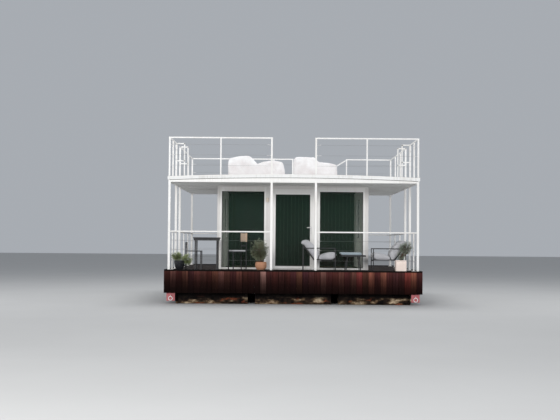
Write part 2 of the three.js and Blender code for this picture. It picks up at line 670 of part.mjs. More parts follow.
// A low lounge chair seen from its side: X from the back leg, and height above the deck.
const CHAIR = {
  length: 900, width: 700, y: -2380, tube: 22, arm: 620, backLeg: 705, frontBar: [270, 292],
};
const CHAIR_SLING = [[2, 687], [302, 287], [885, 287], [885, 305], [311, 305], [22, 705]];
const CUSHION_BACK = [
  [22.4, 705.5], [311.6, 305.5], [410, 305.5], [440, 440], [414, 540], [320, 672], [223, 768],
  [134, 829], [60, 840], [-20, 820], [-45, 765], [-32, 715],
];
const CUSHION_SEAT = [
  [400, 305.5], [800, 305.5], [885, 350], [926, 430], [905, 492], [807, 503], [680, 486],
  [553, 450], [440, 400], [385, 345],
];
const CUSHION_SINK = 4; // the cushions end this far inside the side bars

function loungeChair(name, place, facing) {
  const { length, width, y, tube, arm, backLeg, frontBar } = CHAIR;
  const toWorld = ([u, height]) => [place + facing * u, STANDING + height];
  const ordered = (points) => (facing > 0 ? points.map(toWorld) : points.map(toWorld).reverse());
  const spanX = (low, high) => [place + facing * low, place + facing * high].sort((a, b) => a - b);
  const wide = [y - width / 2, y + width / 2];
  const parts = [];
  for (const edge of [wide[0], wide[1] - tube]) {
    const sideY = [edge, edge + tube];
    parts.push(
      block(spanX(0, tube), sideY, [STANDING, STANDING + backLeg]),
      block(spanX(length - tube, length), sideY, [STANDING, STANDING + arm]),
      block(spanX(0, length), sideY, [STANDING + arm - tube, STANDING + arm]),
    );
  }
  const barZ = frontBar.map((height) => STANDING + height);
  parts.push(block(spanX(length - tube, length), wide, barZ));
  parts.push(block(spanX(0, tube), wide, [STANDING + backLeg - tube, STANDING + backLeg]));
  parts.push(alongY(ordered(CHAIR_SLING), shrunk(wide, BURY)));
  piece(`${name}_frame`, joined(parts), "dark_metal");
  const padY = shrunk(wide, tube + CUSHION_SINK);
  const back = alongY(ordered(CUSHION_BACK), padY);
  const seat = alongY(ordered(CUSHION_SEAT), padY);
  piece(`${name}_cushion`, joined([back, seat]), "cushion_fabric");
}

// The low table's legs lean out from their tops to their feet by splay.
function addLowTable() {
  const table = { x: [1312, 1992], y: [-2730, -2070], top: 425, thick: 40, leg: 28 };
  const inset = { x: 125, y: 50, splay: 45 };
  const top = DECK_TOP + table.top;
  const z = [STANDING, top - BURY];
  const parts = [block(table.x, table.y, [top - table.thick, top])];
  for (const edge of [table.y[0] + inset.y, table.y[1] - inset.y - table.leg]) {
    const legY = [edge, edge + table.leg];
    const [low, high] = shrunk(table.x, inset.x);
    for (const [foot, lean] of [[low, inset.splay], [high - table.leg, -inset.splay]]) {
      const outer = [[foot, z[0]], [foot + table.leg, z[0]]];
      const upper = [[foot + table.leg + lean, z[1]], [foot + lean, z[1]]];
      parts.push(alongY([...outer, ...upper], legY));
    }
  }
  piece("low_table", joined(parts), "dark_metal");
}

function addHighTable() {
  const table = { x: [-2735, -2018], y: [-2720, -2070], top: 885, board: 30, leg: 34, inset: 45 };
  const apron = { low: 800, inset: 20 };
  const top = DECK_TOP + table.top;
  const under = top - BURY;
  const apronZ = [DECK_TOP + apron.low, under];
  const parts = [
    block(table.x, table.y, [top - table.board, top]),
    block(shrunk(table.x, apron.inset), shrunk(table.y, apron.inset), apronZ),
  ];
  const foot = shrunk(table.y, table.inset);
  for (const x of shrunk(table.x, table.inset + table.leg / 2)) {
    const legX = around(x, table.leg);
    parts.push(
      block(legX, foot, [STANDING, STANDING + table.leg]),
      block(legX, [foot[0], foot[0] + table.leg], [STANDING, under - BURY]),
      block(legX, [foot[1] - table.leg, foot[1]], [STANDING, under - BURY]),
    );
  }
  piece("high_table", joined(parts), "dark_metal");
}

// Two slatted chairs, drawn facing -X about the middle of the seat and then turned.
const SEAT_TUBE = 24;
const SLAT = { high: 40, thick: 16 };
const DECK_CHAIRS = [
  {
    name: "deck_chair_left", place: [-2735, -2400], turn: 180, long: 440, wide: 430,
    seat: 518, back: 750, slats: [590, 660, 710],
  },
  {
    name: "deck_chair_right", place: [-1532, -2400], turn: 22, long: 400, wide: 420,
    seat: 505, back: 1000, slats: [640, 795, 870, 935],
  },
];

function addDeckChairs() {
  for (const { name, place, turn, long, wide, seat, back, slats } of DECK_CHAIRS) {
    const x = around(0, long);
    const y = around(0, wide);
    const seatZ = [DECK_TOP + seat - SEAT_TUBE, DECK_TOP + seat];
    const parts = [block(x, y, seatZ)];
    for (const edge of [y[0], y[1] - SEAT_TUBE]) {
      const legY = [edge, edge + SEAT_TUBE];
      parts.push(
        block([x[0], x[0] + SEAT_TUBE], legY, [STANDING, seatZ[1] - BURY]),
        block([x[1] - SEAT_TUBE, x[1]], legY, [STANDING, DECK_TOP + back]),
      );
    }
    for (const height of slats) {
      const slatX = around(x[1] - SEAT_TUBE / 2, SLAT.thick);
      parts.push(block(slatX, shrunk(y, BURY), aboveDeck([height, height + SLAT.high])));
    }
    const mesh = piece(name, joined(parts), "dark_metal");
    mesh.rotation.z = THREE.MathUtils.degToRad(turn);
    mesh.position.set(...place, 0);
  }
}

// Planters: each is a pot with a stem and a rounded crown of leaves.
const PLANTERS = [
  {
    name: "planter_left", x: -3075, y: -2920, finish: "bowl_ceramic",
    pot: [[0, 0], [80, 0], [122, 100], [141, 230], [0, 230]], sides: 16,
    crown: { dx: 70, low: 180, high: 460, radius: 230, lengthwise: 170 },
  },
  {
    name: "planter_middle", x: -869, y: -2920, finish: "terracotta",
    pot: [[0, 0], [70, 0], [120, 35], [150, 95], [157, 155], [150, 227], [0, 227]], sides: 16,
    crown: { dx: -47, low: 190, high: 850, radius: 260, lengthwise: 255 },
  },
  {
    name: "planter_right", x: 2917, y: -2920, finish: "pale_ceramic",
    pot: [[0, 0], [192, 0], [200, 300], [0, 300]], sides: 4,
    crown: { dx: 140, low: 440, high: 850, radius: 210, lengthwise: 180 },
  },
];

function addPlanters() {
  for (const { name, x, y, finish: colour, pot, sides, crown } of PLANTERS) {
    const profile = pot.map(([radius, height]) => new THREE.Vector2(radius, height));
    const body = new THREE.LatheGeometry(profile, sides, Math.PI / 4)
      .rotateX(Math.PI / 2)
      .translate(x, y, STANDING);
    const leaves = new THREE.SphereGeometry(1, 12, 7)
      .rotateX(Math.PI / 2)
      .scale(crown.radius, crown.lengthwise, (crown.high - crown.low) / 2)
      .translate(x + crown.dx, y, STANDING + (crown.high + crown.low) / 2);
    const stem = upright(24, x, y, [STANDING + 150, STANDING + crown.low + 120], 8);
    piece(name, joined([body, stem, leaves]), colour);
  }
}

addPontoons();
addPlatformFrame();
addDeck();
addSkirts();
addPortals();
addRoof();
addCabinWalls();
addWindows();
addDoor();
addWallLamp();
addDeckRails();
addRoofRails();
addStair();
addBeanBags();
loungeChair("lounge_chair_left", 270, 1);
loungeChair("lounge_chair_right", 3085, -1);
addLowTable();
addHighTable();
addDeckChairs();
addPlanters();

export default houseboat;
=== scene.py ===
import math
import random
from itertools import product

import bmesh
import bpy
import numpy as np
from mathutils import Matrix, Vector, noise
from mathutils.bvhtree import BVHTree


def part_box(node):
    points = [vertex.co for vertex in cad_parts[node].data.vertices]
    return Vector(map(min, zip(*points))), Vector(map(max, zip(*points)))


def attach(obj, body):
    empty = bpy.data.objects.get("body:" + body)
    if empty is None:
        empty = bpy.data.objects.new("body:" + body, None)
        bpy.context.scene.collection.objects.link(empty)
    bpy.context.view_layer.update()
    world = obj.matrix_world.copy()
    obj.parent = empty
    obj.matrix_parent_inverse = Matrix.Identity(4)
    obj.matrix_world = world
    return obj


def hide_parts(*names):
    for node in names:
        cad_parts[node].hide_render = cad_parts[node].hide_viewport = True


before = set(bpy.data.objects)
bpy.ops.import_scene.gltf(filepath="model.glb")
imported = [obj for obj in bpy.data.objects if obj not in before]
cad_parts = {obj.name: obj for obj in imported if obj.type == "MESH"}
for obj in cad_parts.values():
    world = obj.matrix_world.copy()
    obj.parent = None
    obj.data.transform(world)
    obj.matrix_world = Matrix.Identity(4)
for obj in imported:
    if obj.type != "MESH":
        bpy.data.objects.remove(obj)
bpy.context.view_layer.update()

# Levels and places in metres, the frame's own where one of its nodes gives them.
WATERLINE = 0.30
SHADE_LINE_SLOPE = 0.022  # the painted shade on the skirt boards reaches a little higher on the left
PLATE_THICK = 0.004  # boarding plates on the deck
deck_low, plate_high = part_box("deck")
DECK = plate_high.z - PLATE_THICK
roof_low, roof_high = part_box("roof")
ROOF_CROWN = 0.075
ROOF_SIDE = roof_high.z - ROOF_CROWN
ROOF_FACETS = 12
FACET = 2 * roof_high.x / ROOF_FACETS
ROOF_SLAB = 0.09
CEILING = roof_low.z
wall_low, wall_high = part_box("wall_front")
CABIN_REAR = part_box("wall_rear")[1].y - 0.012  # without the window trim, which stands proud
WALL_INSIDE = 0.102  # from a wall's outer face to the lining on it
ROOM_HALF = wall_high.x - WALL_INSIDE
ROOM = (wall_high.y + 0.002, CABIN_REAR - WALL_INSIDE)
portal_low, portal_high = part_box("portal_front")
POST = 0.06
POST_X = portal_high.x - POST / 2
POST_Y = -portal_low.y - POST / 2
BAY = 0.59
SIDE_POSTS = (-1.71, -0.66)
RAIL_POSTS = (-2.58, 0.68, 2.02)
ROOF_POST_X, ROOF_POST_Y = POST_X + 0.005, POST_Y + 0.005
DECK_RAIL_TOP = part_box("deck_rail_front_left")[1].z
ROOF_RAIL_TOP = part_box("roof_rail_front_left")[1].z
SIDES = (-1, 1)


def roof_at(x):
    """Height of the roof's top: straight facets between points on a shallow parabola."""
    place = (x + roof_high.x) / FACET
    low = min(int(place), ROOF_FACETS - 1)
    near, far = (ROOF_SIDE + ROOF_CROWN * (1 - (i * FACET / roof_high.x - 1) ** 2) for i in (low, low + 1))
    return near + (far - near) * (place - low)


def around(middle, half):
    return (middle - half, middle + half)


# Materials

class Look:
    """A Principled material and its node tree. Sockets are given with underscores for spaces."""

    def __init__(self, name, roughness, **sockets):
        self.material = bpy.data.materials.new(name)
        self.material.use_nodes = True
        self.tree = self.material.node_tree
        self.shader = self.tree.nodes["Principled BSDF"]
        for key, value in {"Roughness": roughness, **sockets}.items():
            self.shader.inputs[key.replace("_", " ")].default_value = value

    def node(self, kind, output, inputs, **settings):
        """Makes a node, sets or joins its inputs, and returns one of its outputs."""
        made = self.tree.nodes.new("ShaderNode" + kind)
        for key, value in settings.items():
            setattr(made, key, value)
        for key, value in inputs.items():
            if isinstance(value, bpy.types.NodeSocket):
                self.tree.links.new(value, made.inputs[key])
            else:
                made.inputs[key].default_value = value
        return made.outputs[output]

    def point(self):
        return self.node("TexCoord", "Object", {})

    def along(self, axis):
        return self.node("SeparateXYZ", axis, {"Vector": self.point()})

    def tone(self):
        """The colour that each board has of its own. For a leaf it is a grey level of painted light and
        shade, with a little tone at random.
        """
        return self.node("Attribute", "Color", {}, attribute_name="tone")

    def noise(self, size, detail=4.0, stretch=(1, 1, 1), rough=0.55):
        place = self.node("Mapping", "Vector", {"Vector": self.point(), "Scale": stretch})
        inputs = {"Vector": place, "Scale": 1 / size, "Detail": detail, "Roughness": rough}
        return self.node("TexNoise", "Fac", inputs)

    def wave(self, axis, scale, distortion, detail=2.0):
        inputs = {"Vector": self.point(), "Scale": scale, "Distortion": distortion, "Detail": detail}
        return self.node("TexWave", "Fac", inputs, wave_type="BANDS", bands_direction=axis)

    def ramp(self, value, stops):
        """Colours or grey levels along a value. Each stop is (place, colour)."""
        made = self.node("ValToRGB", "Color", {"Fac": value})
        elements = made.node.color_ramp.elements
        while len(elements) < len(stops):
            elements.new(0.5)
        for element, (place, colour) in zip(elements, stops):
            element.position = place
            element.color = (*colour, 1) if isinstance(colour, tuple) else (colour, colour, colour, 1)
        return made

    def mix(self, factor, a, b, blend="MIX"):
        a, b = ((*colour, 1) if isinstance(colour, tuple) else colour for colour in (a, b))
        return self.node("Mix", 2, {0: factor, 6: a, 7: b}, data_type="RGBA", blend_type=blend)

    def spread(self, value, low, high, start=0.3, end=0.7):
        """Low where the value is start or less, and high where it is end or more."""
        limits = {"Value": value, "From Min": start, "From Max": end, "To Min": low, "To Max": high}
        return self.node("MapRange", "Result", limits)

    def finish(self, colour, gloss=None, height=None, strength=0.0, distance=0.0):
        """Joins what is given to the shader, and returns the material."""
        joined = {"Base Color": colour, "Roughness": gloss}
        if height:
            relief = {"Height": height, "Strength": strength, "Distance": distance}
            joined["Normal"] = self.node("Bump", "Normal", relief)
        for key, value in joined.items():
            if value:
                self.tree.links.new(value, self.shader.inputs[key])
        return self.material


def painted(name, colour, stain, roughness, stain_share=0.35, **sockets):
    """Paint with faint clouds, streaks that run down, fine grain and uneven gloss."""
    look = Look(name, roughness, **sockets)
    worn = look.mix(0.5, look.noise(0.9, 5), look.noise(0.05, 3, (1, 1, 0.07)))
    tone = look.mix(look.spread(worn, 0.0, stain_share, 0.48, 0.68), colour, stain)
    gloss = look.spread(look.noise(0.12, 3), roughness - 0.08, roughness + 0.12)
    return look.finish(tone, gloss, look.noise(0.006, 3), 0.12, 0.0008)


def boards(name, grain_axis, shade_heights=None, grey=0.0, gloss=0.15):
    """Stained boards: each board's own colour is in the attribute tone, and the grain runs along
    one axis. Between the two heights of painted shade, the wood goes from nearly black to its own colour."""
    look = Look(name, 0.78, Specular_IOR_Level=gloss)
    stretch = [14, 14, 14]
    stretch[grain_axis] = 0.5
    grain = look.noise(0.35, 8, stretch, 0.65)
    coarse = look.noise(0.5, 4, [s / 5 for s in stretch])
    shade = look.ramp(grain, [(0.32, 0.42), (0.5, 0.95), (0.66, 1.25)])
    tone = look.mix(1.0, look.tone(), shade, "MULTIPLY")
    tone = look.mix(look.spread(coarse, 0.0, 0.45), tone, (0.02, 0.012, 0.01))
    if grey:
        worn = look.spread(look.noise(0.25, 5), 0.0, grey, 0.45, 0.7)
        tone = look.mix(worn, tone, (0.12, 0.10, 0.09))
    # Painted shade: darker towards the foot, nearly black at the lower height, and a little higher on the
    # left.
    if shade_heights:
        slope = {0: look.along("X"), 1: SHADE_LINE_SLOPE, 2: look.along("Z")}
        level = look.node("Math", "Value", slope, operation="MULTIPLY_ADD")
        stops = [(0.0, 0.98), (0.30, 0.90), (0.60, 0.66), (0.80, 0.32), (1.0, 0.0)]
        painted_shade = look.ramp(look.spread(level, 0.0, 1.0, *shade_heights), stops)
        tone = look.mix(painted_shade, tone, (0.0035, 0.0014, 0.0012))
    return look.finish(tone, None, grain, 0.4, 0.002)


def woven(name, colour, shade, thread=0.0016, shaded_below=None):
    """Plain cloth: two crossed sets of threads, soft stains and a little sheen. It may be painted
    with shade towards its foot, between two heights."""
    look = Look(name, 0.88, Sheen_Weight=0.25, Sheen_Roughness=0.5)
    tone = look.mix(look.spread(look.noise(0.28, 5), 0.0, 0.7), colour, shade)
    # Painted shade: below the upper height the cloth turns towards the shade colour, three quarters of the
    # way at the lower height.
    if shaded_below:
        tone = look.mix(look.spread(look.along("Z"), 0.75, 0.0, *shaded_below), tone, shade)
    weave = look.mix(0.5, *[look.wave(axis, 0.314 / thread, 0.6) for axis in "XZ"])
    tone = look.mix(0.12, tone, weave, "MULTIPLY")
    return look.finish(tone, None, weave, 0.25, 0.0006)


def rusty_plate():
    """Pontoon plating: tan paint gone brown, dark patches, red primer and a scum line, and painted shade,
    nearly black, over its upper part.
    """
    look = Look("pontoon_plating", 0.62, Specular_IOR_Level=0.1)
    patches = look.noise(0.42, 7, (1, 1, 2.2), 0.62)
    streaks = look.noise(0.09, 5, (1, 1, 0.16))
    primer = look.noise(0.55, 3, (1, 1, 3.0))
    height = look.along("Z")
    tone = look.ramp(patches, [
        (0.44, (0.003, 0.002, 0.002)), (0.51, (0.020, 0.011, 0.006)),
        (0.57, (0.16, 0.105, 0.060)), (0.65, (0.56, 0.44, 0.30)),
    ])
    tone = look.mix(look.spread(primer, 0.0, 0.8, 0.57, 0.65), tone, (0.28, 0.070, 0.030))
    tone = look.mix(look.spread(streaks, 0.75, 0.0, 0.36, 0.52), tone, (0.03, 0.018, 0.012))
    # Painted shade: nearly black from 0.50 up, fading out below 0.42.
    tone = look.mix(look.spread(height, 0.0, 0.98, 0.42, 0.50), tone, (0.002, 0.001, 0.001))
    slime = look.spread(height, 0.9, 0.0, WATERLINE - 0.02, WATERLINE + 0.03)
    tone = look.mix(slime, tone, (0.035, 0.022, 0.008))
    relief = look.mix(0.5, patches, look.noise(0.012, 4))
    return look.finish(tone, look.spread(patches, 0.85, 0.5), relief, 0.5, 0.004)


def leafy(name, lit_green, old, shaded_green):
    look = Look(name, 0.6)
    amount = look.node("SeparateColor", "Red", {"Color": look.tone()})
    # Painted light and shade: the leaf's grey runs from the darkest green for leaves deep in the crown to
    # the lightest for outer leaves that face up.
    tone = look.ramp(amount, [(0.0, shaded_green), (0.45, old), (1.0, lit_green)])
    return look.finish(look.mix(1.0, tone, look.spread(look.noise(0.02, 3), 0.75, 1.1), "MULTIPLY"))


def fired_clay(name, colour, marks, roughness, grain):
    """Fired clay or glaze with turned rings, blotches and small pits."""
    look = Look(name, roughness)
    tone = look.mix(look.spread(look.noise(0.07, 6), 0.0, 0.8), colour, marks)
    gloss = look.spread(look.noise(0.03, 3), roughness - 0.06, roughness + 0.08)
    relief = look.mix(0.4, look.noise(0.004, 3), look.wave("Z", 18.0, 1.5, 3.0))
    return look.finish(tone, gloss, relief, grain, 0.002)


def tinted_glass():
    """Dark green glass that shows the room behind it dimly."""
    look = Look("tinted_glass", 0.03, IOR=1.5, Alpha=0.26, Base_Color=(0.017, 0.052, 0.032, 1))
    return look.finish(None, look.spread(look.noise(0.3, 4, (1, 1, 0.3)), 0.02, 0.09))


def brushed(name, colour, roughness):
    look = Look(name, roughness, Metallic=1.0)
    lines = look.noise(0.02, 3, (1, 1, 12))
    tone = look.mix(look.spread(lines, 0.0, 0.5), colour, tuple(0.6 * c for c in colour))
    return look.finish(tone, look.spread(lines, roughness - 0.1, roughness + 0.12), lines, 0.15, 0.0005)


MATERIALS = {
    "white_steel": painted("white_paint", (0.83, 0.82, 0.80), (0.50, 0.44, 0.36), 0.38, 0.30),
    "white_wall": painted("wall_panels", (0.72, 0.70, 0.68), (0.54, 0.51, 0.48), 0.5),
    "roof_skin": painted("roof_membrane", (0.80, 0.80, 0.79), (0.46, 0.44, 0.40), 0.6, 0.5),
    "red_oxide": painted("red_oxide_paint", (0.20, 0.035, 0.022), (0.04, 0.015, 0.01), 0.66, 0.8),
    "block_paint": painted("faded_red_paint", (0.45, 0.13, 0.14), (0.10, 0.03, 0.025), 0.6, 0.9),
    "pontoon_steel": rusty_plate(),
    # Skirt boards with painted shade towards their foot, between heights 0.63 and 1.25.
    "skirt_wood": boards("skirt_boards", 2, (0.63, 1.25), gloss=0.05),
    "deck_wood": boards("deck_boards", 0, grey=0.6),
    "kerb_wood": boards("kerb_boards", 0),
    "floor_wood": boards("cabin_floor", 1, gloss=0.4),
    "glass": tinted_glass(),
    "handle_steel": brushed("satin_steel", (0.80, 0.79, 0.78), 0.48),
    "wire_steel": brushed("wire_rope", (0.30, 0.30, 0.30), 0.45),
    "lamp_metal": painted("lamp_finish", (0.74, 0.66, 0.56), (0.42, 0.34, 0.27), 0.42, 0.6),
    "stair_steel": painted("stair_paint", (0.70, 0.70, 0.69), (0.34, 0.31, 0.28), 0.45, 0.6),
    "dark_metal": painted("black_powder_coat", (0.020, 0.020, 0.022), (0.09, 0.085, 0.08), 0.5, 0.5),
    "rubber": painted("black_rubber", (0.012, 0.012, 0.012), (0.04, 0.04, 0.04), 0.75, 0.5),
    "galvanised": painted(
        "galvanised_steel", (0.46, 0.47, 0.48), (0.28, 0.28, 0.28), 0.42, 0.7, Metallic=0.7,
    ),
    # Bag canvas with painted shade, pinkish grey, towards the bags' foot between heights 3.72 and 4.30.
    "bag_fabric": woven("bag_canvas", (0.95, 0.95, 0.95), (0.66, 0.60, 0.59), shaded_below=(3.72, 4.30)),
    "cushion_fabric": woven("cushion_cloth", (0.56, 0.56, 0.58), (0.36, 0.36, 0.38), 0.0024),
    "tray_fabric": woven("pad_cloth", (0.36, 0.43, 0.47), (0.26, 0.32, 0.36), 0.0024),
    "beige_fabric": woven("back_pad_cloth", (0.62, 0.45, 0.32), (0.50, 0.35, 0.24), 0.0024),
    "bowl_ceramic": fired_clay("black_glaze", (0.010, 0.012, 0.014), (0.03, 0.03, 0.035), 0.28, 0.08),
    "terracotta": fired_clay("terracotta", (0.56, 0.29, 0.17), (0.42, 0.21, 0.13), 0.82, 0.3),
    "pale_ceramic": fired_clay("pale_clay", (0.98, 0.84, 0.76), (0.90, 0.74, 0.66), 0.7, 0.25),
    # Leaves: colours for painted light, the middle, and painted shade, in that order.
    "olive_leaves": leafy("olive_leaves", (0.34, 0.37, 0.25), (0.12, 0.135, 0.08), (0.012, 0.016, 0.008)),
    "bright_leaves": leafy("bright_leaves", (0.50, 0.56, 0.34), (0.22, 0.27, 0.12), (0.025, 0.035, 0.015)),
    "silver_leaves": leafy("silver_leaves", (0.46, 0.51, 0.43), (0.20, 0.24, 0.18), (0.025, 0.035, 0.025)),
    "bark": painted("bark", (0.10, 0.05, 0.035), (0.22, 0.14, 0.09), 0.85, 0.8),
    "soil": painted("soil", (0.018, 0.012, 0.009), (0.05, 0.035, 0.025), 0.95, 0.8),
}

# Each node of the frame carries a plain material that is named after its slot.
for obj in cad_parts.values():
    obj.data.materials[0] = MATERIALS[obj.data.materials[0].name]


# Mesh building

CORNERS = list(product((0, 1), repeat=3))
AROUND = ((0, 0), (1, 0), (1, 1), (0, 1))
PALE = (1, 1, 1, 1)


def chamfered_box_faces():
    """Faces of a box whose corners have three vertices each, one for each face that meets there."""
    at = {key: number for number, key in enumerate(product(CORNERS, range(3)))}
    faces = [tuple(at[corner, axis] for axis in range(3)) for corner in CORNERS]
    for axis in range(3):
        a, b = (other for other in range(3) if other != axis)

        def corner_at(along, at_a, at_b):
            place = {axis: along, a: at_a, b: at_b}
            return tuple(place[i] for i in range(3))

        for side in (0, 1):
            faces.append(tuple(at[corner_at(side, i, j), axis] for i, j in AROUND))
        for i, j in AROUND:
            first, last = corner_at(0, i, j), corner_at(1, i, j)
            faces.append((at[first, a], at[last, a], at[last, b], at[first, b]))
    return faces


BOX_FACES = chamfered_box_faces()


def circle(sides):
    """Cosine and sine of each of the equal steps around."""
    return [(math.cos(math.tau * s / sides), math.sin(math.tau * s / sides)) for s in range(sides)]


def ring_faces(rings, sides, closed=False):
    """Faces between rings of vertices, with a cap on each end unless the last ring meets the first."""
    faces = []
    for i in range(rings if closed else rings - 1):
        a, b = i * sides, (i + 1) % rings * sides
        faces += [(a + s, a + (s + 1) % sides, b + (s + 1) % sides, b + s) for s in range(sides)]
    if not closed:
        faces += [tuple(range(sides)), tuple(range((rings - 1) * sides, rings * sides))]
    return faces


def linked(name, data):
    obj = bpy.data.objects.new(name, data)
    bpy.context.scene.collection.objects.link(obj)
    return obj


class Shape:
    """Closed bodies gathered into one piece, each vertex with a colour in the attribute tone."""

    def __init__(self):
        self.verts = []
        self.faces = []
        self.tones = []

    def add(self, verts, faces, tone=PALE, turn=None):
        base = len(self.verts)
        self.verts += [tuple(v if turn is None else turn @ Vector(v)) for v in verts]
        self.faces += [tuple(base + i for i in face) for face in faces]
        self.tones += [tone] * len(verts)

    def box(self, x, y, z, chamfer=0.002, tone=PALE, turn=None):
        """A box with chamfered edges, from its two ends along each axis."""
        ends = [sorted(pair) for pair in (x, y, z)]
        verts = [
            [ends[axis][k] + (axis != face) * chamfer * (1 - 2 * k) for axis, k in enumerate(corner)]
            for corner in CORNERS for face in range(3)
        ]
        self.add(verts, BOX_FACES, tone, turn)

    def tube(self, path, radius, sides=8, tone=PALE, closed=False, turn=None):
        """A round bar along points. Radius may be a list, one for each point."""
        points = [Vector(p) for p in path]
        count = len(points)
        radii = radius if isinstance(radius, list) else [radius] * count
        verts = []
        across = None
        for i, point in enumerate(points):
            before = points[i - 1] if i or closed else point
            after = points[(i + 1) % count] if i < count - 1 or closed else point
            along = (after - before).normalized()
            if across is None:
                across = along.orthogonal().normalized()
            across = (across - along * across.dot(along)).normalized()
            up = along.cross(across)
            verts += [point + (across * c + up * s) * radii[i] for c, s in circle(sides)]
        self.add(verts, ring_faces(count, sides, closed), tone, turn)

    def ring(self, centre, normal, radius, thick, steps, sides):
        normal = Vector(normal).normalized()
        a = normal.orthogonal().normalized()
        b = normal.cross(a)
        points = [Vector(centre) + (a * c + b * s) * radius for c, s in circle(steps)]
        self.tube(points, thick, sides, closed=True)

    def lathe(self, profile, centre, sides=40):
        """Points of radius and height turned about an upright line; the first and last close on it."""
        x, y, z = centre
        verts = [(x + r * c, y + r * s, z + height) for r, height in profile for c, s in circle(sides)]
        self.add(verts, ring_faces(len(profile), sides))

    def piece(self, name, material, body="boat", replaces=(), slot=None, smooth=0):
        """Makes the object. Smooth is the angle in degrees under which edges are shaded smooth."""
        mesh = bpy.data.meshes.new(name)
        mesh.from_pydata(self.verts, [], self.faces)
        if any(tone != PALE for tone in self.tones):
            colours = mesh.color_attributes.new("tone", "FLOAT_COLOR", "POINT")
            colours.data.foreach_set("color", [c for tone in self.tones for c in tone])
        shape = bmesh.new()
        shape.from_mesh(mesh)
        bmesh.ops.recalc_face_normals(shape, faces=shape.faces)
        shape.to_mesh(mesh)
        shape.free()
        if smooth:
            mesh.shade_smooth()
            mesh.set_sharp_from_angle(angle=math.radians(smooth))
        mesh.materials.append(MATERIALS[material])
        obj = linked(name, mesh)
        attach(obj, body)
        if replaces:
            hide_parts(*replaces)
        return obj


def quarter_turns(count):
    return Matrix.Rotation(math.pi / 2 * count, 4, "Z")


def varied(rng, colour, spread_by):
    """A colour a little lighter or darker, and a little off in hue."""
    light = 1 + rng.uniform(-spread_by, spread_by)
    return tuple(c * light * (1 + rng.uniform(-0.08, 0.08)) for c in colour) + (1,)


# Skirt of upright boards

BOARD_GROOVE = 0.005
BOARD_THICK = 0.032
BOARD_TOP = DECK - 0.016
BATTEN_LEVELS = (0.07, 0.44)  # above the skirt's foot, as the nails
BATTEN_THICK, BATTEN_HIGH = 0.024, 0.07
NAIL_LEVELS = (0.10, 0.47)
NAIL_RADIUS = 0.0045
KERB_WIDE, KERB_HIGH = 0.034, 0.041
SET_BACK = (0, 3, 1, 5, 2, 4, 0, 2, 5, 1)  # millimetres that each board stands back
NAIL_TINT = (0.10, 0.09, 0.085, 1)
SKIRT_TINTS = {
    "dark": (0.102, 0.030, 0.026),
    "plum": (0.095, 0.029, 0.032),
    "brown": (0.155, 0.058, 0.042),
    "rose": (0.25, 0.108, 0.092),
    "bare": (0.44, 0.225, 0.190),
    "red": (0.26, 0.050, 0.044),
    "orange": (0.27, 0.092, 0.062),
}
COMMON_TINTS = ["dark"] * 6 + ["plum", "brown", "brown", "rose"]
# Bow boards that have faded, counted from the left.
FADED_BOARDS = {
    1: "rose", 3: "brown", 4: "plum", 5: "brown", 8: "brown", 9: "rose", 10: "brown", 11: "plum",
    16: "bare", 24: "plum", 26: "rose", 29: "brown", 32: "red", 33: "brown", 34: "orange", 36: "orange",
    38: "plum", 40: "red", 41: "orange",
}


def make_skirts():
    """Nailed boards and battens on four sides, and a kerb on top of them."""
    front_low, front_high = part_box("skirt_front")
    side_low, side_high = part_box("skirt_right")
    foot = front_low.z
    kerb = Shape()
    for quarters, name in enumerate(("front", "right", "rear", "left")):
        rng = random.Random(f"skirt {name}")
        turn = quarter_turns(quarters)
        if quarters % 2:
            count, half, face = 44, (side_high.y - side_low.y) / 2, -side_high.x
            kerb_half = -front_low.y - KERB_WIDE
        else:
            count, half, face = 43, (front_high.x - front_low.x) / 2, front_low.y
            kerb_half = -front_low.x
        shape = Shape()
        pitch = 2 * half / count
        for i in range(count):
            low = -half + i * pitch + (BOARD_GROOVE if i else 0)
            high = -half + (i + 1) * pitch
            outer = face + SET_BACK[i % len(SET_BACK)] / 1000
            faded = None if quarters else FADED_BOARDS.get(i)
            kind = faded or rng.choice(COMMON_TINTS)
            levels = (foot + rng.uniform(0, 0.006), BOARD_TOP)
            tone = varied(rng, SKIRT_TINTS[kind], 0.22)
            shape.box((low, high), (outer, outer + BOARD_THICK), levels, 0.003, tone, turn)
            for level, share in product(NAIL_LEVELS, (0.3, 0.7)):
                x = low + (high - low) * share
                nail = [(x, outer + depth, foot + level) for depth in (-0.0012, 0.004)]
                shape.tube(nail, NAIL_RADIUS, 6, NAIL_TINT, turn=turn)
        inner = face + front_high.y - front_low.y
        for level in BATTEN_LEVELS:
            levels = (foot + level, foot + level + BATTEN_HIGH)
            tone = (*SKIRT_TINTS["dark"], 1)
            shape.box(around(0, half - 0.01), (inner - BATTEN_THICK, inner), levels, 0.002, tone, turn)
        shape.piece(f"skirt_boards_{name}", "skirt_wood", replaces=[f"skirt_{name}"])
        kerb.box(around(0, kerb_half), (face - 0.001, face + KERB_WIDE - 0.001),
                 (BOARD_TOP + 0.001, BOARD_TOP + KERB_HIGH), 0.003, PALE, turn)
    kerb.piece("deck_kerb", "kerb_wood", slot="deck_wood")


# Deck of boards across the boat, with tread plates at the boarding gaps

DECK_BOARD = 0.137
DECK_EDGE = 0.043  # from the deck's edge to its boards
DECK_GAPS = (0.0015, 0.003)  # on each side of a board, at its ends and along it
DECK_JOINTS = (-1.83, -0.61, 0.61, 1.83)
DECK_TINTS = [(0.040, 0.026, 0.020), (0.030, 0.020, 0.016), (0.052, 0.034, 0.026), (0.036, 0.026, 0.022)]
# Quarter turns, distance of the middle line, place along the side, and length.
BOARDING_PLATES = (
    (0, 3.492, 0, 1.08), (2, 3.492, 0, 1.08), (1, 3.342, -1.185, 0.95), (3, 3.342, 1.185, 0.95),
)
TREAD_PITCH = (0.03, 0.033)


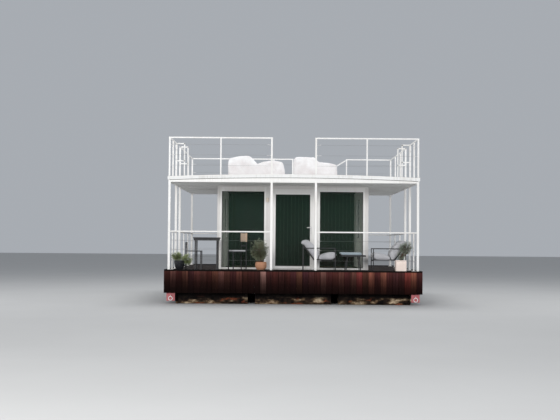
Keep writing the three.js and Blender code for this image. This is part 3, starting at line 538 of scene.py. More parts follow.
def make_deck():
    rng = random.Random("deck")
    shape = Shape()
    half_x, half_y = -deck_low.x - DECK_EDGE, -deck_low.y - DECK_EDGE
    count = round(2 * half_y / DECK_BOARD)
    pitch = 2 * half_y / count
    end_gap, side_gap = DECK_GAPS
    for i in range(count):
        y = -half_y + i * pitch
        inner = 0 < i < count - 1
        joints = [-half_x, *([rng.choice(DECK_JOINTS)] if inner else []), half_x]
        rows = (y + side_gap * (i > 0), y + pitch - side_gap * (i < count - 1))
        for left, right in zip(joints, joints[1:]):
            tone = varied(rng, rng.choice(DECK_TINTS), 0.15)
            ends = (left + end_gap * (left > -half_x), right - end_gap * (right < half_x))
            shape.box(ends, rows, (deck_low.z, DECK), 0.0025, tone)
    shape.piece("deck_boards", "deck_wood", replaces=["deck"])

    plates = Shape()
    top = DECK + PLATE_THICK
    for quarters, distance, middle, length in BOARDING_PLATES:
        turn = quarter_turns(quarters)
        xs, ys = around(middle, length / 2), around(-distance, 0.075)
        plates.box(xs, ys, (DECK, top), 0.001, PALE, turn)
        for i, j in product(range(int(length / TREAD_PITCH[0])), range(4)):
            x = xs[0] + 0.02 + i * TREAD_PITCH[0]
            y = ys[0] + 0.025 + j * TREAD_PITCH[1]
            slant = 0.009 if (i + j) % 2 else -0.009
            plates.tube([(x - slant, y - 0.009, top), (x + slant, y + 0.009, top)], 0.0018, 4, turn=turn)
    plates.piece("boarding_plates", "galvanised", slot="stair_steel")


# Cabin: floor, lining, panel joints, trims and gaskets

FLOOR_TINT = (0.12, 0.080, 0.050)
WALL_TINT = (0.034, 0.026, 0.020)
SOFFIT_TINT = (0.040, 0.030, 0.024)
BLIND_TINT = (0.034, 0.032, 0.030)
SLAT = 0.05


def room_rows(count):
    """The pitch of rows that fill the room's width, and where each of them starts."""
    pitch = 2 * ROOM_HALF / count
    return pitch, [i * pitch - ROOM_HALF for i in range(count)]


def make_cabin_floor():
    rng = random.Random("cabin floor")
    shape = Shape()
    pitch, rows = room_rows(28)
    for x in rows:
        cut = ROOM[0] + (ROOM[1] - ROOM[0]) * rng.uniform(0.3, 0.7)
        for y in ((ROOM[0], cut), (cut + 0.001, ROOM[1])):
            tone = varied(rng, FLOOR_TINT, 0.15)
            shape.box((x, x + pitch - 0.001), y, (DECK + 0.0005, DECK + 0.012), 0.0008, tone)
    shape.piece("cabin_floor", "floor_wood", slot="deck_wood")


def make_cabin_lining():
    """Dark boards on the inside of the rear wall and the ceiling, and a blind in the rear window."""
    rng = random.Random("lining")
    lining = Shape()
    floor, top = DECK + 0.013, CEILING - 0.014
    front, rear = ROOM
    glass_low, glass_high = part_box("window_glass_rear")
    pitch, rows = room_rows(34)
    for x in rows:
        board = (x, x + pitch - 0.002)
        tone = varied(rng, WALL_TINT, 0.2)
        beside = x + pitch < glass_low.x - 0.01 or x > glass_high.x + 0.01
        for z in [(floor, top)] if beside else [(floor, glass_low.z - 0.02), (glass_high.z + 0.02, top)]:
            lining.box(board, (rear - 0.012, rear), z, 0.002, tone)
        tone = varied(rng, SOFFIT_TINT, 0.2)
        lining.box(board, ROOM, (top + 0.001, CEILING - 0.001), 0.002, tone)
    for i in range(int((glass_high.z - glass_low.z) / SLAT) + 3):
        z = glass_low.z - 0.03 + i * SLAT
        lining.box((glass_low.x - pitch, glass_high.x + pitch), (rear - 0.016, rear - 0.013),
                   (z, z + SLAT - 0.001), 0.001, varied(rng, BLIND_TINT, 0.1))
    lining.piece("cabin_lining", "floor_wood", slot="deck_wood")

    panels = Shape()
    for side, glass in ((-1, "window_glass_left"), (1, "window_glass_right")):
        hole_low, hole_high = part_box(glass)
        hole = (hole_low.y - 0.01, hole_high.y + 0.01)
        beside, between = (floor, top), (hole[0] + 0.001, hole[1] - 0.001)
        for y, z in (
            ((front + 0.001, hole[0]), beside), ((hole[1], rear - 0.015), beside),
            (between, (floor, hole_low.z - 0.02)), (between, (hole_high.z + 0.02, top)),
        ):
            panels.box((side * ROOM_HALF, side * (ROOM_HALF - 0.004)), y, z, 0.001)
    panels.piece("cabin_side_panels", "white_steel", slot="white_wall")


JOINT_HALF = 0.014
JOINT_PROUD = 0.003
CORNER_STRIP = 0.045
SIDE_JOINTS = (-0.68, 0.02, 1.48, 2.0)
REAR_JOINTS = (-0.48, 0.62, 1.38)
SILL = DECK + 0.85


def make_cabin_trim():
    """Corner strips, covers of the panel joints, a plinth and sill drips under the side windows."""
    shape = Shape()
    half, front, rear = wall_high.x, wall_low.y, CABIN_REAR
    tall, plinth = (DECK + 0.001, CEILING - 0.002), (DECK + 0.001, DECK + 0.07)
    for side in SIDES:
        x = side * half
        proud = x + side * JOINT_PROUD
        for y, out in ((front, -1), (rear, 1)):
            outer = y + out * JOINT_PROUD
            shape.box((proud, x - side * CORNER_STRIP), (outer, y), tall, 0.001)
            shape.box((proud, x), (outer, y - out * CORNER_STRIP), tall, 0.001)
        for y in SIDE_JOINTS:
            shape.box((x, proud), around(y, JOINT_HALF), tall, 0.001)
        shape.box((x, x + side * 0.005), (front, rear), plinth, 0.0015)
        shape.box((x + side * 0.012, x + side * 0.032), (0.06, 1.44), (SILL - 0.012, SILL + 0.004), 0.002)
    for x in REAR_JOINTS:
        shape.box(around(x, JOINT_HALF), (rear, rear + JOINT_PROUD), tall, 0.001)
    shape.box((-half, half), (rear, rear + 0.005), plinth, 0.0015)
    shape.piece("cabin_trim", "white_wall")


GASKET = 0.009
FIXED_PANES = {"front_left": 1, "front_right": 1, "rear": 1, "left": 0, "right": 0}


def gasket(shape, glass, axis):
    """Rubber strips on both faces of a pane, along its four edges. Axis is the pane's thin one."""
    low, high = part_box(glass)
    across = 1 - axis
    spans = [None, None, None]
    for face, out in ((low[axis], -1), (high[axis], 1)):
        spans[axis] = (face, face + out * 0.005)
        for edge, inward in ((low, GASKET), (high, -GASKET)):
            spans[across], spans[2] = (low[across], high[across]), (edge.z, edge.z + inward)
            shape.box(*spans, 0.0012)
            spans[across] = (edge[across], edge[across] + inward)
            spans[2] = (low.z + GASKET, high.z - GASKET)
            shape.box(*spans, 0.0012)


def make_gaskets():
    fixed = Shape()
    for place, axis in FIXED_PANES.items():
        gasket(fixed, f"window_glass_{place}", axis)
    fixed.piece("window_gaskets", "rubber", slot="dark_metal")
    moving = Shape()
    gasket(moving, "door_glass", 1)
    moving.piece("door_gasket", "rubber", body="door", slot="dark_metal")


# Posts' foot plates, rails and wires

FOOT_THICK = 0.008
RAIL_SHOWN = 0.034
WIRE_RADIUS = 0.0022
DECK_WIRES = (0.277, 0.551, 0.801)  # over the deck
ROOF_WIRES = (0.200, 0.480, 0.760)  # under the roof rail's top
RAIL_SEAT = 0.004  # posts end this far under the rail's top
STAIR_GAP = (0.065, 1.815)
RETURN_LONG = 0.25
LEFT_POSTS = ((-ROOF_POST_X, 0.046), (-1.95, 0.036), (-BAY, 0.046))  # middle and width
# A wire tensioner: start and end of each part, its radius and its number of sides.
TENSIONER = (
    (0, 0.115, 0.0042, 8), (0.035, 0.09, 0.0075, 8),
    (0.004, 0.012, 0.0085, 6), (0.03, 0.038, 0.0085, 6), (0.095, 0.103, 0.0085, 6),
)


def make_foot_plates():
    """A plate with four bolts at the foot of each post."""
    shape = Shape()
    foot = DECK + 0.0006
    top = foot + FOOT_THICK
    for side in SIDES:
        posts = [(x, end * POST_Y, 0.13) for x in (BAY, POST_X) for end in SIDES]
        posts += [(POST_X, y, 0.13) for y in SIDE_POSTS] + [(POST_X, y, 0.10) for y in RAIL_POSTS]
        for x, y, size in posts:
            shape.box(around(side * x, size / 2), around(y, size / 2), (foot, top), 0.0015)
            for i, j in product(SIDES, SIDES):
                bolt = (side * x + i * size * 0.36, y + j * size * 0.36)
                shape.tube([(*bolt, top - 0.001), (*bolt, top + 0.006)], 0.0075, 6)
    shape.piece("post_feet", "white_steel")


def bar(shape, axis, span, line, thick, z):
    """A bar along one axis, centred on a line of the other."""
    x, y = (span, around(line, thick / 2)) if axis == "x" else (around(line, thick / 2), span)
    shape.box(x, y, z, 0.003)


def rod(shape, axis, span, line, z, radius, sides=8):
    ends = [(at, line, z) if axis == "x" else (line, at, z) for at in span]
    shape.tube(ends, radius, sides)


def fitting(shape, axis, end, way, line, z):
    """A tensioner that points from the wire's end along its axis, up it or down it."""
    for start, stop, radius, sides in TENSIONER:
        rod(shape, axis, (end + way * start, end + way * stop), line, z, radius, sides)


def run(bars, wires, axis, span, line, top, levels, wire_inset=0):
    """A top bar along one axis, with wires under it."""
    bar(bars, axis, span, line, RAIL_SHOWN, (top - RAIL_SHOWN, top))
    for z in levels:
        rod(wires, axis, (span[0] + wire_inset, span[1] - wire_inset), line, z, WIRE_RADIUS)


def make_deck_rails(bars, wires, fittings):
    """A top bar, small posts and three wires in each bay between the main posts."""
    levels = [DECK + height for height in DECK_WIRES]
    half = POST / 2
    bays = []
    for side in SIDES:
        line = side * POST_X
        bays += [("x", sorted((side * (BAY + half), side * (POST_X - half))), y) for y in (-POST_Y, POST_Y)]
        bays.append(("y", (half - POST_Y, SIDE_POSTS[0] - half), line))
        bays.append(("y", (SIDE_POSTS[1] + half, POST_Y - half), line))
        for y in RAIL_POSTS:
            bar(bars, "y", around(y, 0.018), line, RAIL_SHOWN, (DECK + 0.0005, DECK_RAIL_TOP - RAIL_SEAT))
    for axis, (low, high), line in bays:
        run(bars, wires, axis, (low + 0.0003, high - 0.0003), line, DECK_RAIL_TOP, levels)
        for z in levels:
            fitting(fittings, axis, low + 0.011, 1, line, z)
            fitting(fittings, axis, high - 0.011, -1, line, z)


def make_roof_rails(bars, wires, fittings):
    """Rails with gaps at the bow, at the stair and on both sides, where short returns lead inwards."""
    post_top = ROOF_RAIL_TOP - RAIL_SEAT
    levels = [ROOF_RAIL_TOP - down for down in ROOF_WIRES]
    edge = POST_X + POST / 2
    # The line of a rail, its gap, and the posts on its right half apart from the corner's.
    for line, gap, right_posts in (
        (-ROOF_POST_Y, (0.025 - BAY, BAY - 0.025), ((BAY, 0.046), (1.95, 0.036))),
        (ROOF_POST_Y, STAIR_GAP, ((0.04, 0.04), (1.84, 0.04))),
    ):
        for span in ((-edge, gap[0]), (gap[1], edge)):
            run(bars, wires, "x", span, line, ROOF_RAIL_TOP, levels, 0.02)
        for x, width in (*LEFT_POSTS, *right_posts, (ROOF_POST_X, 0.046)):
            low = roof_at(max(0, abs(x) - width / 2)) + 0.0005
            bar(bars, "x", around(x, width / 2), line, width, (low, post_top))
    foot = ROOF_SIDE + 0.0012
    stern = POST_Y + POST / 2 - 0.0503
    for side in SIDES:
        line = side * ROOF_POST_X
        for span in ((-stern, SIDE_POSTS[0] + 0.025), (SIDE_POSTS[1] - 0.025, stern)):
            run(bars, wires, "y", span, line, ROOF_RAIL_TOP, levels)
        for y in RAIL_POSTS:
            bar(bars, "y", around(y, 0.02), line, 0.04, (foot, post_top))
        for y, way in zip(SIDE_POSTS, SIDES):
            bar(bars, "y", around(y, 0.025), line, 0.05, (foot, post_top))
            for high in (ROOF_RAIL_TOP, ROOF_RAIL_TOP - 0.49):
                bar(bars, "x", (line, line - side * RETURN_LONG), y, RAIL_SHOWN, (high - RAIL_SHOWN, high))
            x = line - side * (RETURN_LONG - 0.02)
            bar(bars, "x", around(x, 0.018), y, RAIL_SHOWN, (roof_at(abs(x) - 0.02) + 0.0005, post_top))
            for z in levels:
                fitting(fittings, "y", y + way * 0.025, way, line, z)
        rails = (-ROOF_POST_Y, ROOF_POST_Y) if side < 0 else (-ROOF_POST_Y,)
        for rail, z in product(rails, levels):
            fitting(fittings, "x", side * (ROOF_POST_X - 0.025), -side, rail, z)
            fitting(fittings, "x", side * (BAY + 0.025), side, rail, z)


def make_rails():
    """Square bars with softened edges, and round wire ropes with tensioners between them."""
    bars, wires, fittings = Shape(), Shape(), Shape()
    make_deck_rails(bars, wires, fittings)
    make_roof_rails(bars, wires, fittings)
    names = [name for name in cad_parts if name.startswith(("deck_rail_", "roof_rail_"))]
    bars.piece("rail_bars", "white_steel", replaces=names)
    wires.piece("wire_ropes", "wire_steel", slot="handle_steel", smooth=60)
    fittings.piece("wire_fittings", "handle_steel", smooth=40)


# Roof: edge caps, seams and soffit

CAP_THICK = 0.003
CAP_DEEP = 0.022
CAP_WIDE = 0.045
CAP_JOINTS = (3, 6, 9)
SHADOW_GAP = (0.0005, 0.0115)  # levels of a dark strip of painted shadow, under the roof slab
SHADOW_THICK = 0.0012
HATCH = (1.85, 2.65)  # right side and front edge of the stair hole


def roof_strips(shape, ys, levels, limit):
    """A strip along every facet of the roof, between two levels over its top."""
    for i in range(ROOF_FACETS):
        verts = []
        for x in (i * FACET - roof_high.x, (i + 1) * FACET - roof_high.x):
            x = max(-limit, min(limit, x))
            z = roof_at(x)
            verts += [(x, ys[end], z + levels[edge]) for end, edge in AROUND]
        shape.add(verts, ring_faces(2, 4))


def make_roof_edges():
    """A thin metal cap on the roof's edge with joint covers, and a dark strip of painted shadow under the
    slab.
    """
    caps, gap = Shape(), Shape()
    half_x, half_y = roof_high.x, roof_high.y
    for side in SIDES:
        y, outer = side * half_y, side * (half_y + 0.004)
        roof_strips(caps, (outer, y - side * CAP_WIDE), (CAP_THICK, 0), half_x)
        roof_strips(caps, (outer, y), (CAP_THICK, -CAP_DEEP), half_x)
        for x in (i * FACET - half_x for i in CAP_JOINTS):
            z = roof_at(x)
            caps.box(around(x, 0.03), (y, y + side * 0.008), (z - 0.030, z + 0.004), 0.001)
        x, outer = side * half_x, side * (half_x + 0.004)
        whole, z = (-half_y, half_y), ROOF_SIDE
        caps.box((x, outer), whole, (z - CAP_DEEP, z + CAP_THICK), 0.001)
        caps.box((x - side * CAP_WIDE, outer), whole, (z + 0.0045, z + 0.0045 + CAP_THICK), 0.001)

        # A dark rubber strip that paints the shadow line under the slab's edge.
        above, below = (-ROOF_SLAB - level for level in SHADOW_GAP)
        y, x = side * (POST_Y + POST / 2), side * (POST_X + POST / 2)
        roof_strips(gap, (y, y + side * SHADOW_THICK), (above, below), POST_X)
        gap.box((x, x + side * SHADOW_THICK), (-POST_Y, POST_Y), (z + above, z + below + 0.0005), 0.0004)
    caps.piece("roof_edge_caps", "white_steel")
    gap.piece("roof_painted_shadow", "rubber", slot="dark_metal")


def make_roof_seams():
    """Seams of the roof membrane, and battens on the soffit around the cabin."""
    seams = Shape()
    for i in range(1, ROOF_FACETS):
        x = i * FACET - roof_high.x
        rear = HATCH[1] if 0 < x < HATCH[0] else roof_high.y - 0.05
        z = roof_at(x)
        seams.box(around(x, 0.02), (0.05 - roof_high.y, rear), (z - 0.0015, z + 0.0022), 0.001)
    seams.piece("roof_seams", "roof_skin")

    battens = Shape()
    inner_x, inner_y = roof_high.x - 0.09, roof_high.y - 0.09
    thick = (CEILING - 0.004, CEILING)
    for i, side in product(range(1, 6), SIDES):
        y = around(inner_y * (i / 3 - 1), 0.015)
        battens.box((side * (wall_high.x + 0.006), side * inner_x), y, thick, 0.001)
    for x in (-2.1, -1.05, 0, 1.05, 2.1):
        battens.box(around(x, 0.015), (-inner_y, wall_low.y - 0.006), thick, 0.001)
    battens.piece("soffit_battens", "roof_skin")


# Corner blocks and mooring rings, the pontoons' seams and the stair's ribs

BLOCK_X, BLOCK_Y, BLOCK_Z = (3.129, 3.3525), (3.2845, 3.5075), (0.3785, 0.7795)
RING_X = 3.245
PONTOONS = ((-2.17, 0.96), (0, 1.01), (2.17, 0.96))  # middle and half width
PONTOON_END = 3.33
PONTOON_TOP = 0.778
SEAM_PROUD = 0.006
STAIR_RISERS = 11


def make_mooring():
    """A painted skin around each corner block, with a plate, an eye and a ring on its end."""
    skins, rings = Shape(), Shape()
    for side, end in product(SIDES, SIDES):
        skins.box([side * x for x in BLOCK_X], [end * y for y in BLOCK_Y], BLOCK_Z, 0.004)
        middle, face = side * RING_X, end * BLOCK_Y[1]
        skins.box(around(middle, 0.05), (face, face + end * 0.006), (0.475, 0.545), 0.002)
        rings.ring((middle, face + end * 0.018, 0.512), (1, 0, 0), 0.020, 0.006, 20, 8)
        rings.ring((middle, face + end * 0.022, 0.445), (0.15, 1, 0.1), 0.052, 0.009, 32, 10)
    skins.piece("corner_block_paint", "block_paint", slot="red_oxide")
    rings.piece("mooring_rings", "white_steel", smooth=60)


def make_pontoon_seams():
    """Straps over the joints of the plates, on the ends and the outer sides."""
    shape = Shape()
    upright, along_top = (0.245, PONTOON_TOP), (PONTOON_TOP - 0.023, PONTOON_TOP)
    for middle, half in PONTOONS:
        for end in SIDES:
            face = (end * PONTOON_END, end * (PONTOON_END + SEAM_PROUD))
            for share in (-0.5, 0, 0.5):
                shape.box(around(middle + share * half, 0.005), face, upright)
            for edge in SIDES:
                shape.box(around(middle + edge * (half - 0.02), 0.018), face, upright)
            shape.box(around(middle, half), face, along_top)
        if middle:
            side = math.copysign(1, middle)
            face = (middle + side * half, middle + side * (half + SEAM_PROUD))
            for y in (-2.2, -1.1, 0, 1.1, 2.2):
                shape.box(face, around(y, 0.006), (0.01, PONTOON_TOP))
            shape.box(face, around(0, PONTOON_END - 0.05), along_top)
    shape.piece("pontoon_seams", "pontoon_steel")


def make_stair_grip():
    """Raised ribs on each tread and a nosing strip."""
    low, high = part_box("stair")
    rise_top = roof_at(high.x) - 0.005
    wide = (low.y + 0.036, high.y - 0.036)
    shape = Shape()
    for i in range(1, STAIR_RISERS):
        share = i / STAIR_RISERS
        x = low.x + share * (high.x - low.x)
        z = DECK + share * (rise_top - DECK)
        shape.box((x + 0.004, x + 0.026), wide, (z, z + 0.004), 0.001)
        for j in range(7):
            rib = x + 0.045 + j * 0.024
            shape.box((rib, rib + 0.008), wide, (z, z + 0.0025), 0.0008)
    shape.piece("stair_grip", "galvanised", slot="stair_steel")


# Soft goods

CLOTH = {
    "quality": 6, "mass": 0.3, "tension_stiffness": 12, "compression_stiffness": 12,
    "shear_stiffness": 6, "bending_stiffness": 0.25, "use_pressure": True, "shrink_min": -0.05,
}
CLOTH_FRAMES = 20


def evaluated(obj):
    return obj.evaluated_get(bpy.context.evaluated_depsgraph_get())


def inflated(obj, pressure, cap, pinned=None):
    """Blows the cloth up a little and keeps the result, moved by no more than cap."""
    mesh = obj.data
    rest = np.array([v.co for v in mesh.vertices])
    cloth = obj.modifiers.new("cloth", "CLOTH")
    for key, value in CLOTH.items():
        setattr(cloth.settings, key, value)
    cloth.settings.uniform_pressure_force = pressure
    cloth.settings.effector_weights.gravity = 0
    if pinned is not None:
        obj.vertex_groups.new(name="pin").add(pinned, 1.0, "REPLACE")
        cloth.settings.vertex_group_mass = "pin"
    cloth.point_cache.frame_start = 1
    cloth.point_cache.frame_end = CLOTH_FRAMES
    scene = bpy.context.scene
    for number in range(1, CLOTH_FRAMES + 1):
        scene.frame_set(number)
    moved = np.array([v.co for v in evaluated(obj).data.vertices]) - rest
    length = np.linalg.norm(moved, axis=1, keepdims=True)
    moved *= np.minimum(1, cap / np.maximum(length, 1e-9))
    obj.modifiers.remove(cloth)
    obj.vertex_groups.clear()
    mesh.vertices.foreach_set("co", (rest + moved).ravel())
    mesh.update()
    scene.frame_set(1)


def apply_modifiers(obj):
    old, obj.data = obj.data, bpy.data.meshes.new_from_object(evaluated(obj))
    obj.modifiers.clear()
    bpy.data.meshes.remove(old)


def crumple(obj, depth):
    """Soft folds pressed into the cloth along its normals."""
    normals = [v.normal.copy() for v in obj.data.vertices]
    for vertex, normal in zip(obj.data.vertices, normals):
        p = vertex.co
        broad = noise.noise((p.x * 3.1, p.y * 3.7 + 5, p.z * 4.3))
        ridge = 1 - abs(noise.noise((p.x * 6 + p.z * 3, p.y * 7, p.z * 9 - p.x * 2))) * 2
        vertex.co = p + normal * depth * (0.5 * broad + 0.6 * ridge - 0.45)
    obj.data.update()


def soft_piece(name, outline, span, material, slot="cushion_fabric", *, voxel, pressure, cap, fill,
               smooth=4, replaces=(), floor=None, wrinkle=0.0, inset=0.0, lean=0.0, turn=None):
    """A stuffed piece: a prism of the outline of X and Z, remeshed, rounded, blown up as cloth and
    flattened on the floor, which is a height at each x. Its ends lean in, so that its top is
    narrower by the share lean."""
    middle = (span[0] + span[1]) / 2
    half = (span[1] - span[0]) / 2 - inset
    foot = min(z for x, z in outline)
    head = max(z for x, z in outline)

    def half_at(z):
        return half * (1 - lean * (z - foot) / (head - foot))

    shape = Shape()
    verts = [(x, middle + side * half_at(z), z) for side in SIDES for x, z in outline]
    shape.add(verts, ring_faces(2, len(outline)))
    obj = shape.piece(name, material, slot=slot, replaces=replaces)
    remesh = obj.modifiers.new("remesh", "REMESH")
    remesh.mode = "VOXEL"
    remesh.voxel_size = voxel
    rounding = obj.modifiers.new("round", "SMOOTH")
    rounding.factor = 0.5
    rounding.iterations = smooth
    bpy.context.view_layer.update()
    apply_modifiers(obj)
    pinned = [
        v.index for v in obj.data.vertices
        if abs(abs(v.co.y - middle) - half_at(v.co.z) * 0.94) < voxel * 0.75
    ]
    inflated(obj, pressure, cap, pinned if wrinkle else None)
    if wrinkle:
        crumple(obj, wrinkle)
    if floor is not None:
        for vertex in obj.data.vertices:
            vertex.co.z = max(vertex.co.z, floor(vertex.co.x))
        obj.data.update()
    finer = obj.modifiers.new("finer", "SUBSURF")
    finer.levels = finer.render_levels = 1
    apply_modifiers(obj)
    if turn is not None:
        obj.data.transform(turn)
    obj.data.shade_smooth()
    return obj


def laid_on(obj, points, lift):
    """The nearest places on a piece's surface, lifted off it a little."""
    tree = BVHTree.FromObject(obj, bpy.context.evaluated_depsgraph_get())
    nearest = [tree.find_nearest(point) for point in points]
    return [place + normal * lift for place, normal, _, _ in nearest]


def seam_tube(shape, obj, outline, y, radius, lift):
    """A raised seam around a soft piece, where the outline lies at one y."""
    points = []
    for (x0, z0), (x1, z1) in zip(outline, outline[1:] + outline[:1]):
        steps = max(2, int(math.hypot(x1 - x0, z1 - z0) / 0.035))
        points += [Vector((x0, y, z0)).lerp((x1, y, z1), s / steps) for s in range(steps)]
    path = laid_on(obj, points, lift)
    after = path[1:] + path[:1]
    smoothed = [(path[i - 1] + path[i] * 2 + after[i]) / 4 for i in range(len(path))]
    shape.tube(smoothed, radius, 6, closed=True)


BAG_SPAN = (-0.70, 0.15)
# Points of X and height above the bag's foot: along the foot from left to right, and back over the top.
BAG_LEFT = [
    (-1.870, 0.0), (-0.245, 0.0), (-0.240, 0.30), (-0.310, 0.545), (-0.60, 0.590), (-0.85, 0.560),
    (-0.99, 0.500), (-1.045, 0.475), (-1.10, 0.540), (-1.20, 0.660), (-1.30, 0.727), (-1.56, 0.709),
    (-1.860, 0.655), (-1.905, 0.545),
]
BAG_RIGHT = [
    (0.040, 0.0), (1.295, 0.0), (1.305, 0.213), (1.285, 0.475), (0.99, 0.533), (0.76, 0.556),
    (0.645, 0.690), (0.36, 0.703), (0.060, 0.692), (0.028, 0.560),
]
# Node, outline, and the fold between back and seat.
BAGS = (
    ("bean_bag_left", BAG_LEFT, (-1.045, 0.475)),
    ("bean_bag_right", BAG_RIGHT, (0.76, 0.556)),
)
BAG_SEAM = 0.0055


def make_bean_bags():
    seams = Shape()
    front, rear = BAG_SPAN
    for name, points, fold in BAGS:
        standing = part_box(name)[0].z
        outline = [(x, standing + height) for x, height in points]
        bag = soft_piece(
            name + "_cover", outline, BAG_SPAN, "bag_fabric", "bag_fabric", voxel=0.024, pressure=1.6,
            cap=0.010, fill=0.7, replaces=[name], wrinkle=0.014, inset=0.006, lean=0.14,
            floor=lambda x: roof_at(x) + 0.001,
        )
        for y in (front + 0.08, rear - 0.08):
            seam_tube(seams, bag, outline, y, BAG_SEAM, 0.001)
        across = [front + 0.05 + (rear - front - 0.10) * i / 23 for i in range(24)]
        crease = laid_on(bag, [Vector((fold[0], y, standing + fold[1])) for y in across], 0.001)
        seams.tube(crease, BAG_SEAM, 6)
    seams.piece("bean_bag_seams", "bag_fabric", smooth=60)


# Points of distance from a lounge chair's back leg, and height above the deck.
CUSHIONS = {
    "back": [
        (0.030, 0.712), (0.320, 0.315), (0.400, 0.312), (0.432, 0.438), (0.406, 0.537), (0.313, 0.667),
        (0.217, 0.761), (0.131, 0.821), (0.060, 0.832), (-0.016, 0.812), (-0.038, 0.764), (-0.026, 0.723),
    ],
    "seat": [
        (0.440, 0.310), (0.798, 0.310), (0.879, 0.353), (0.918, 0.430), (0.899, 0.486), (0.806, 0.496),
        (0.682, 0.479), (0.560, 0.444), (0.458, 0.400), (0.430, 0.350),
    ],
}
# Node, place of its back leg, and the way that it faces.
LOUNGE_CHAIRS = (("lounge_chair_left", 0.270, 1), ("lounge_chair_right", 3.085, -1))


def make_cushions():
    seams = Shape()
    for name, place, facing in LOUNGE_CHAIRS:
        low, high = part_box(name + "_cushion")
        for part, points in CUSHIONS.items():
            outline = [(place + facing * u, DECK + h) for u, h in points]
            cushion = soft_piece(
                f"{name}_{part}_cushion", outline, (low.y, high.y), "cushion_fabric", voxel=0.013,
                pressure=4.0, cap=0.014, fill=0.65, replaces=[name + "_cushion"], inset=0.008, wrinkle=0.004,
            )
            for y in (low.y + 0.022, high.y - 0.022):
                seam_tube(seams, cushion, outline, y, 0.0035, 0.0005)
    seams.piece("cushion_seams", "cushion_fabric", smooth=60)


def make_tray():
    """The thick grey-blue pad on the low table."""
    low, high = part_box("low_table")
    corners = [(0.028, 0.002), (0.580, 0.002), (0.555, 0.072), (-0.034, 0.072)]
    outline = [(low.x + x, high.z + z) for x, z in corners]
    soft_piece("table_pad", outline, (low.y + 0.03, high.y - 0.03), "tray_fabric", voxel=0.014,
               pressure=1.5, cap=0.008, fill=0.5, floor=lambda x: high.z + 0.001, wrinkle=0.003)


# Where the right deck chair stands and how far it is turned, half its depth and width, and heights.
CHAIR_PLACE = Matrix.Translation((-1.532, -2.40, 0)) @ Matrix.Rotation(math.radians(22), 4, "Z")
CHAIR_HALF = (0.20, 0.21)
CHAIR_SEAT = DECK + 0.505
CHAIR_TOP = DECK + 1.000


def rectangle(xs, zs):
    return [(xs[i], zs[j]) for i, j in AROUND]


def make_chair_pads():
    """A cover over the top of the turned chair's back, and a thin pad on its seat."""
    deep, wide = CHAIR_HALF
    common = {"smooth": 2, "pressure": 1.5, "fill": 0.5, "turn": CHAIR_PLACE}
    outline = rectangle(around(deep - 0.012, 0.020), (CHAIR_TOP - 0.230, CHAIR_TOP + 0.008))
    soft_piece("chair_back_cover", outline, around(0, wide + 0.008), "beige_fabric",
               voxel=0.010, cap=0.004, **common)
    outline = rectangle((0.01 - deep, deep - 0.03), (CHAIR_SEAT + 0.001, CHAIR_SEAT + 0.03))
    soft_piece("chair_seat_pad", outline, around(0, wide - 0.015), "cushion_fabric",
               voxel=0.012, cap=0.006, floor=lambda x: CHAIR_SEAT + 0.0005, **common)


# Plants

STEM_RADII = [0.005, 0.0042, 0.0034, 0.0026, 0.0014]


def leaf(shape, at, along, length, width, tone, rng):
    """A leaf of four triangles, folded along its middle."""
    side = along.cross(Vector((rng.uniform(-1, 1), rng.uniform(-1, 1), rng.uniform(0.2, 1)))).normalized()
    up = side.cross(along).normalized()
    middle = at + along * length * 0.5
    edge, rise = side * width / 2, up * width * 0.2
    verts = [at, middle + edge + rise, at + along * length, middle - edge + rise, middle - up * width * 0.12]
    shape.add(verts, [(0, 4, 1), (1, 4, 2), (2, 4, 3), (3, 4, 0)], (tone, tone, tone, 1))


def bush(leaves, stems, rng, root, centre, radii, count, size, stem_count):
    """Stems that fan out from root into an ellipsoid crown, with leaves on twigs all through it."""
    root, centre, radii = Vector(root), Vector(centre), Vector(radii)
    twigs = []
    for _ in range(stem_count):
        while True:
            p = Vector((rng.uniform(-1, 1), rng.uniform(-1, 1), rng.uniform(-0.7, 1)))
            if 0.15 < p.length < 0.92:
                break
        end = centre + p * radii
        bend = root.lerp(end, 0.5) + Vector((rng.uniform(-1, 1), rng.uniform(-1, 1), 0)) * radii.x * 0.09
        path = [root.lerp(bend, t) * (1 - t) + bend.lerp(end, t) * t for t in (0, 0.25, 0.5, 0.75, 1)]
        stems.tube(path, STEM_RADII, 5)
        twigs.append(path)
    for _ in range(count):
        path = rng.choice(twigs)
        t = rng.uniform(0.35, 1.0) * (len(path) - 1)
        i = min(int(t), len(path) - 2)
        at = path[i].lerp(path[i + 1], t - i)
        away = Vector((rng.gauss(0, 1), rng.gauss(0, 1), rng.gauss(0.3, 0.8))).normalized()
        at = at + away * rng.uniform(0, min(radii) * 0.45)
        inside = sum(((a - c) / r) ** 2 for a, c, r in zip(at, centre, radii))
        if inside > 1.0:
            continue
        outward = (at - centre).normalized()
        along = (outward + away * 0.8 + Vector((0, 0, 0.35))).normalized()
        # Painted light and shade: leaves deep in the crown are darker, outer leaves and those facing up
        # lighter, with a little tone at random.
        light = 0.25 + 0.45 * inside + 0.25 * max(0, outward.z) + rng.uniform(-0.15, 0.15)
        long = size * rng.uniform(0.7, 1.2)
        leaf(leaves, at, along, long, long * 0.42, max(0.0, min(1.0, light)), rng)


PLANTER_Y = -2.92
# Planter, its x, its pot, the pot's material, its plant and the plant's material.
PLANTERS = (
    ("middle", -0.869, "middle_pot", "terracotta", "middle_bush", "olive_leaves"),
    ("left", -3.075, "left_bowl", "bowl_ceramic", "left_bushes", "bright_leaves"),
    ("right", 2.917, "right_box", "pale_ceramic", "right_plant", "silver_leaves"),
)
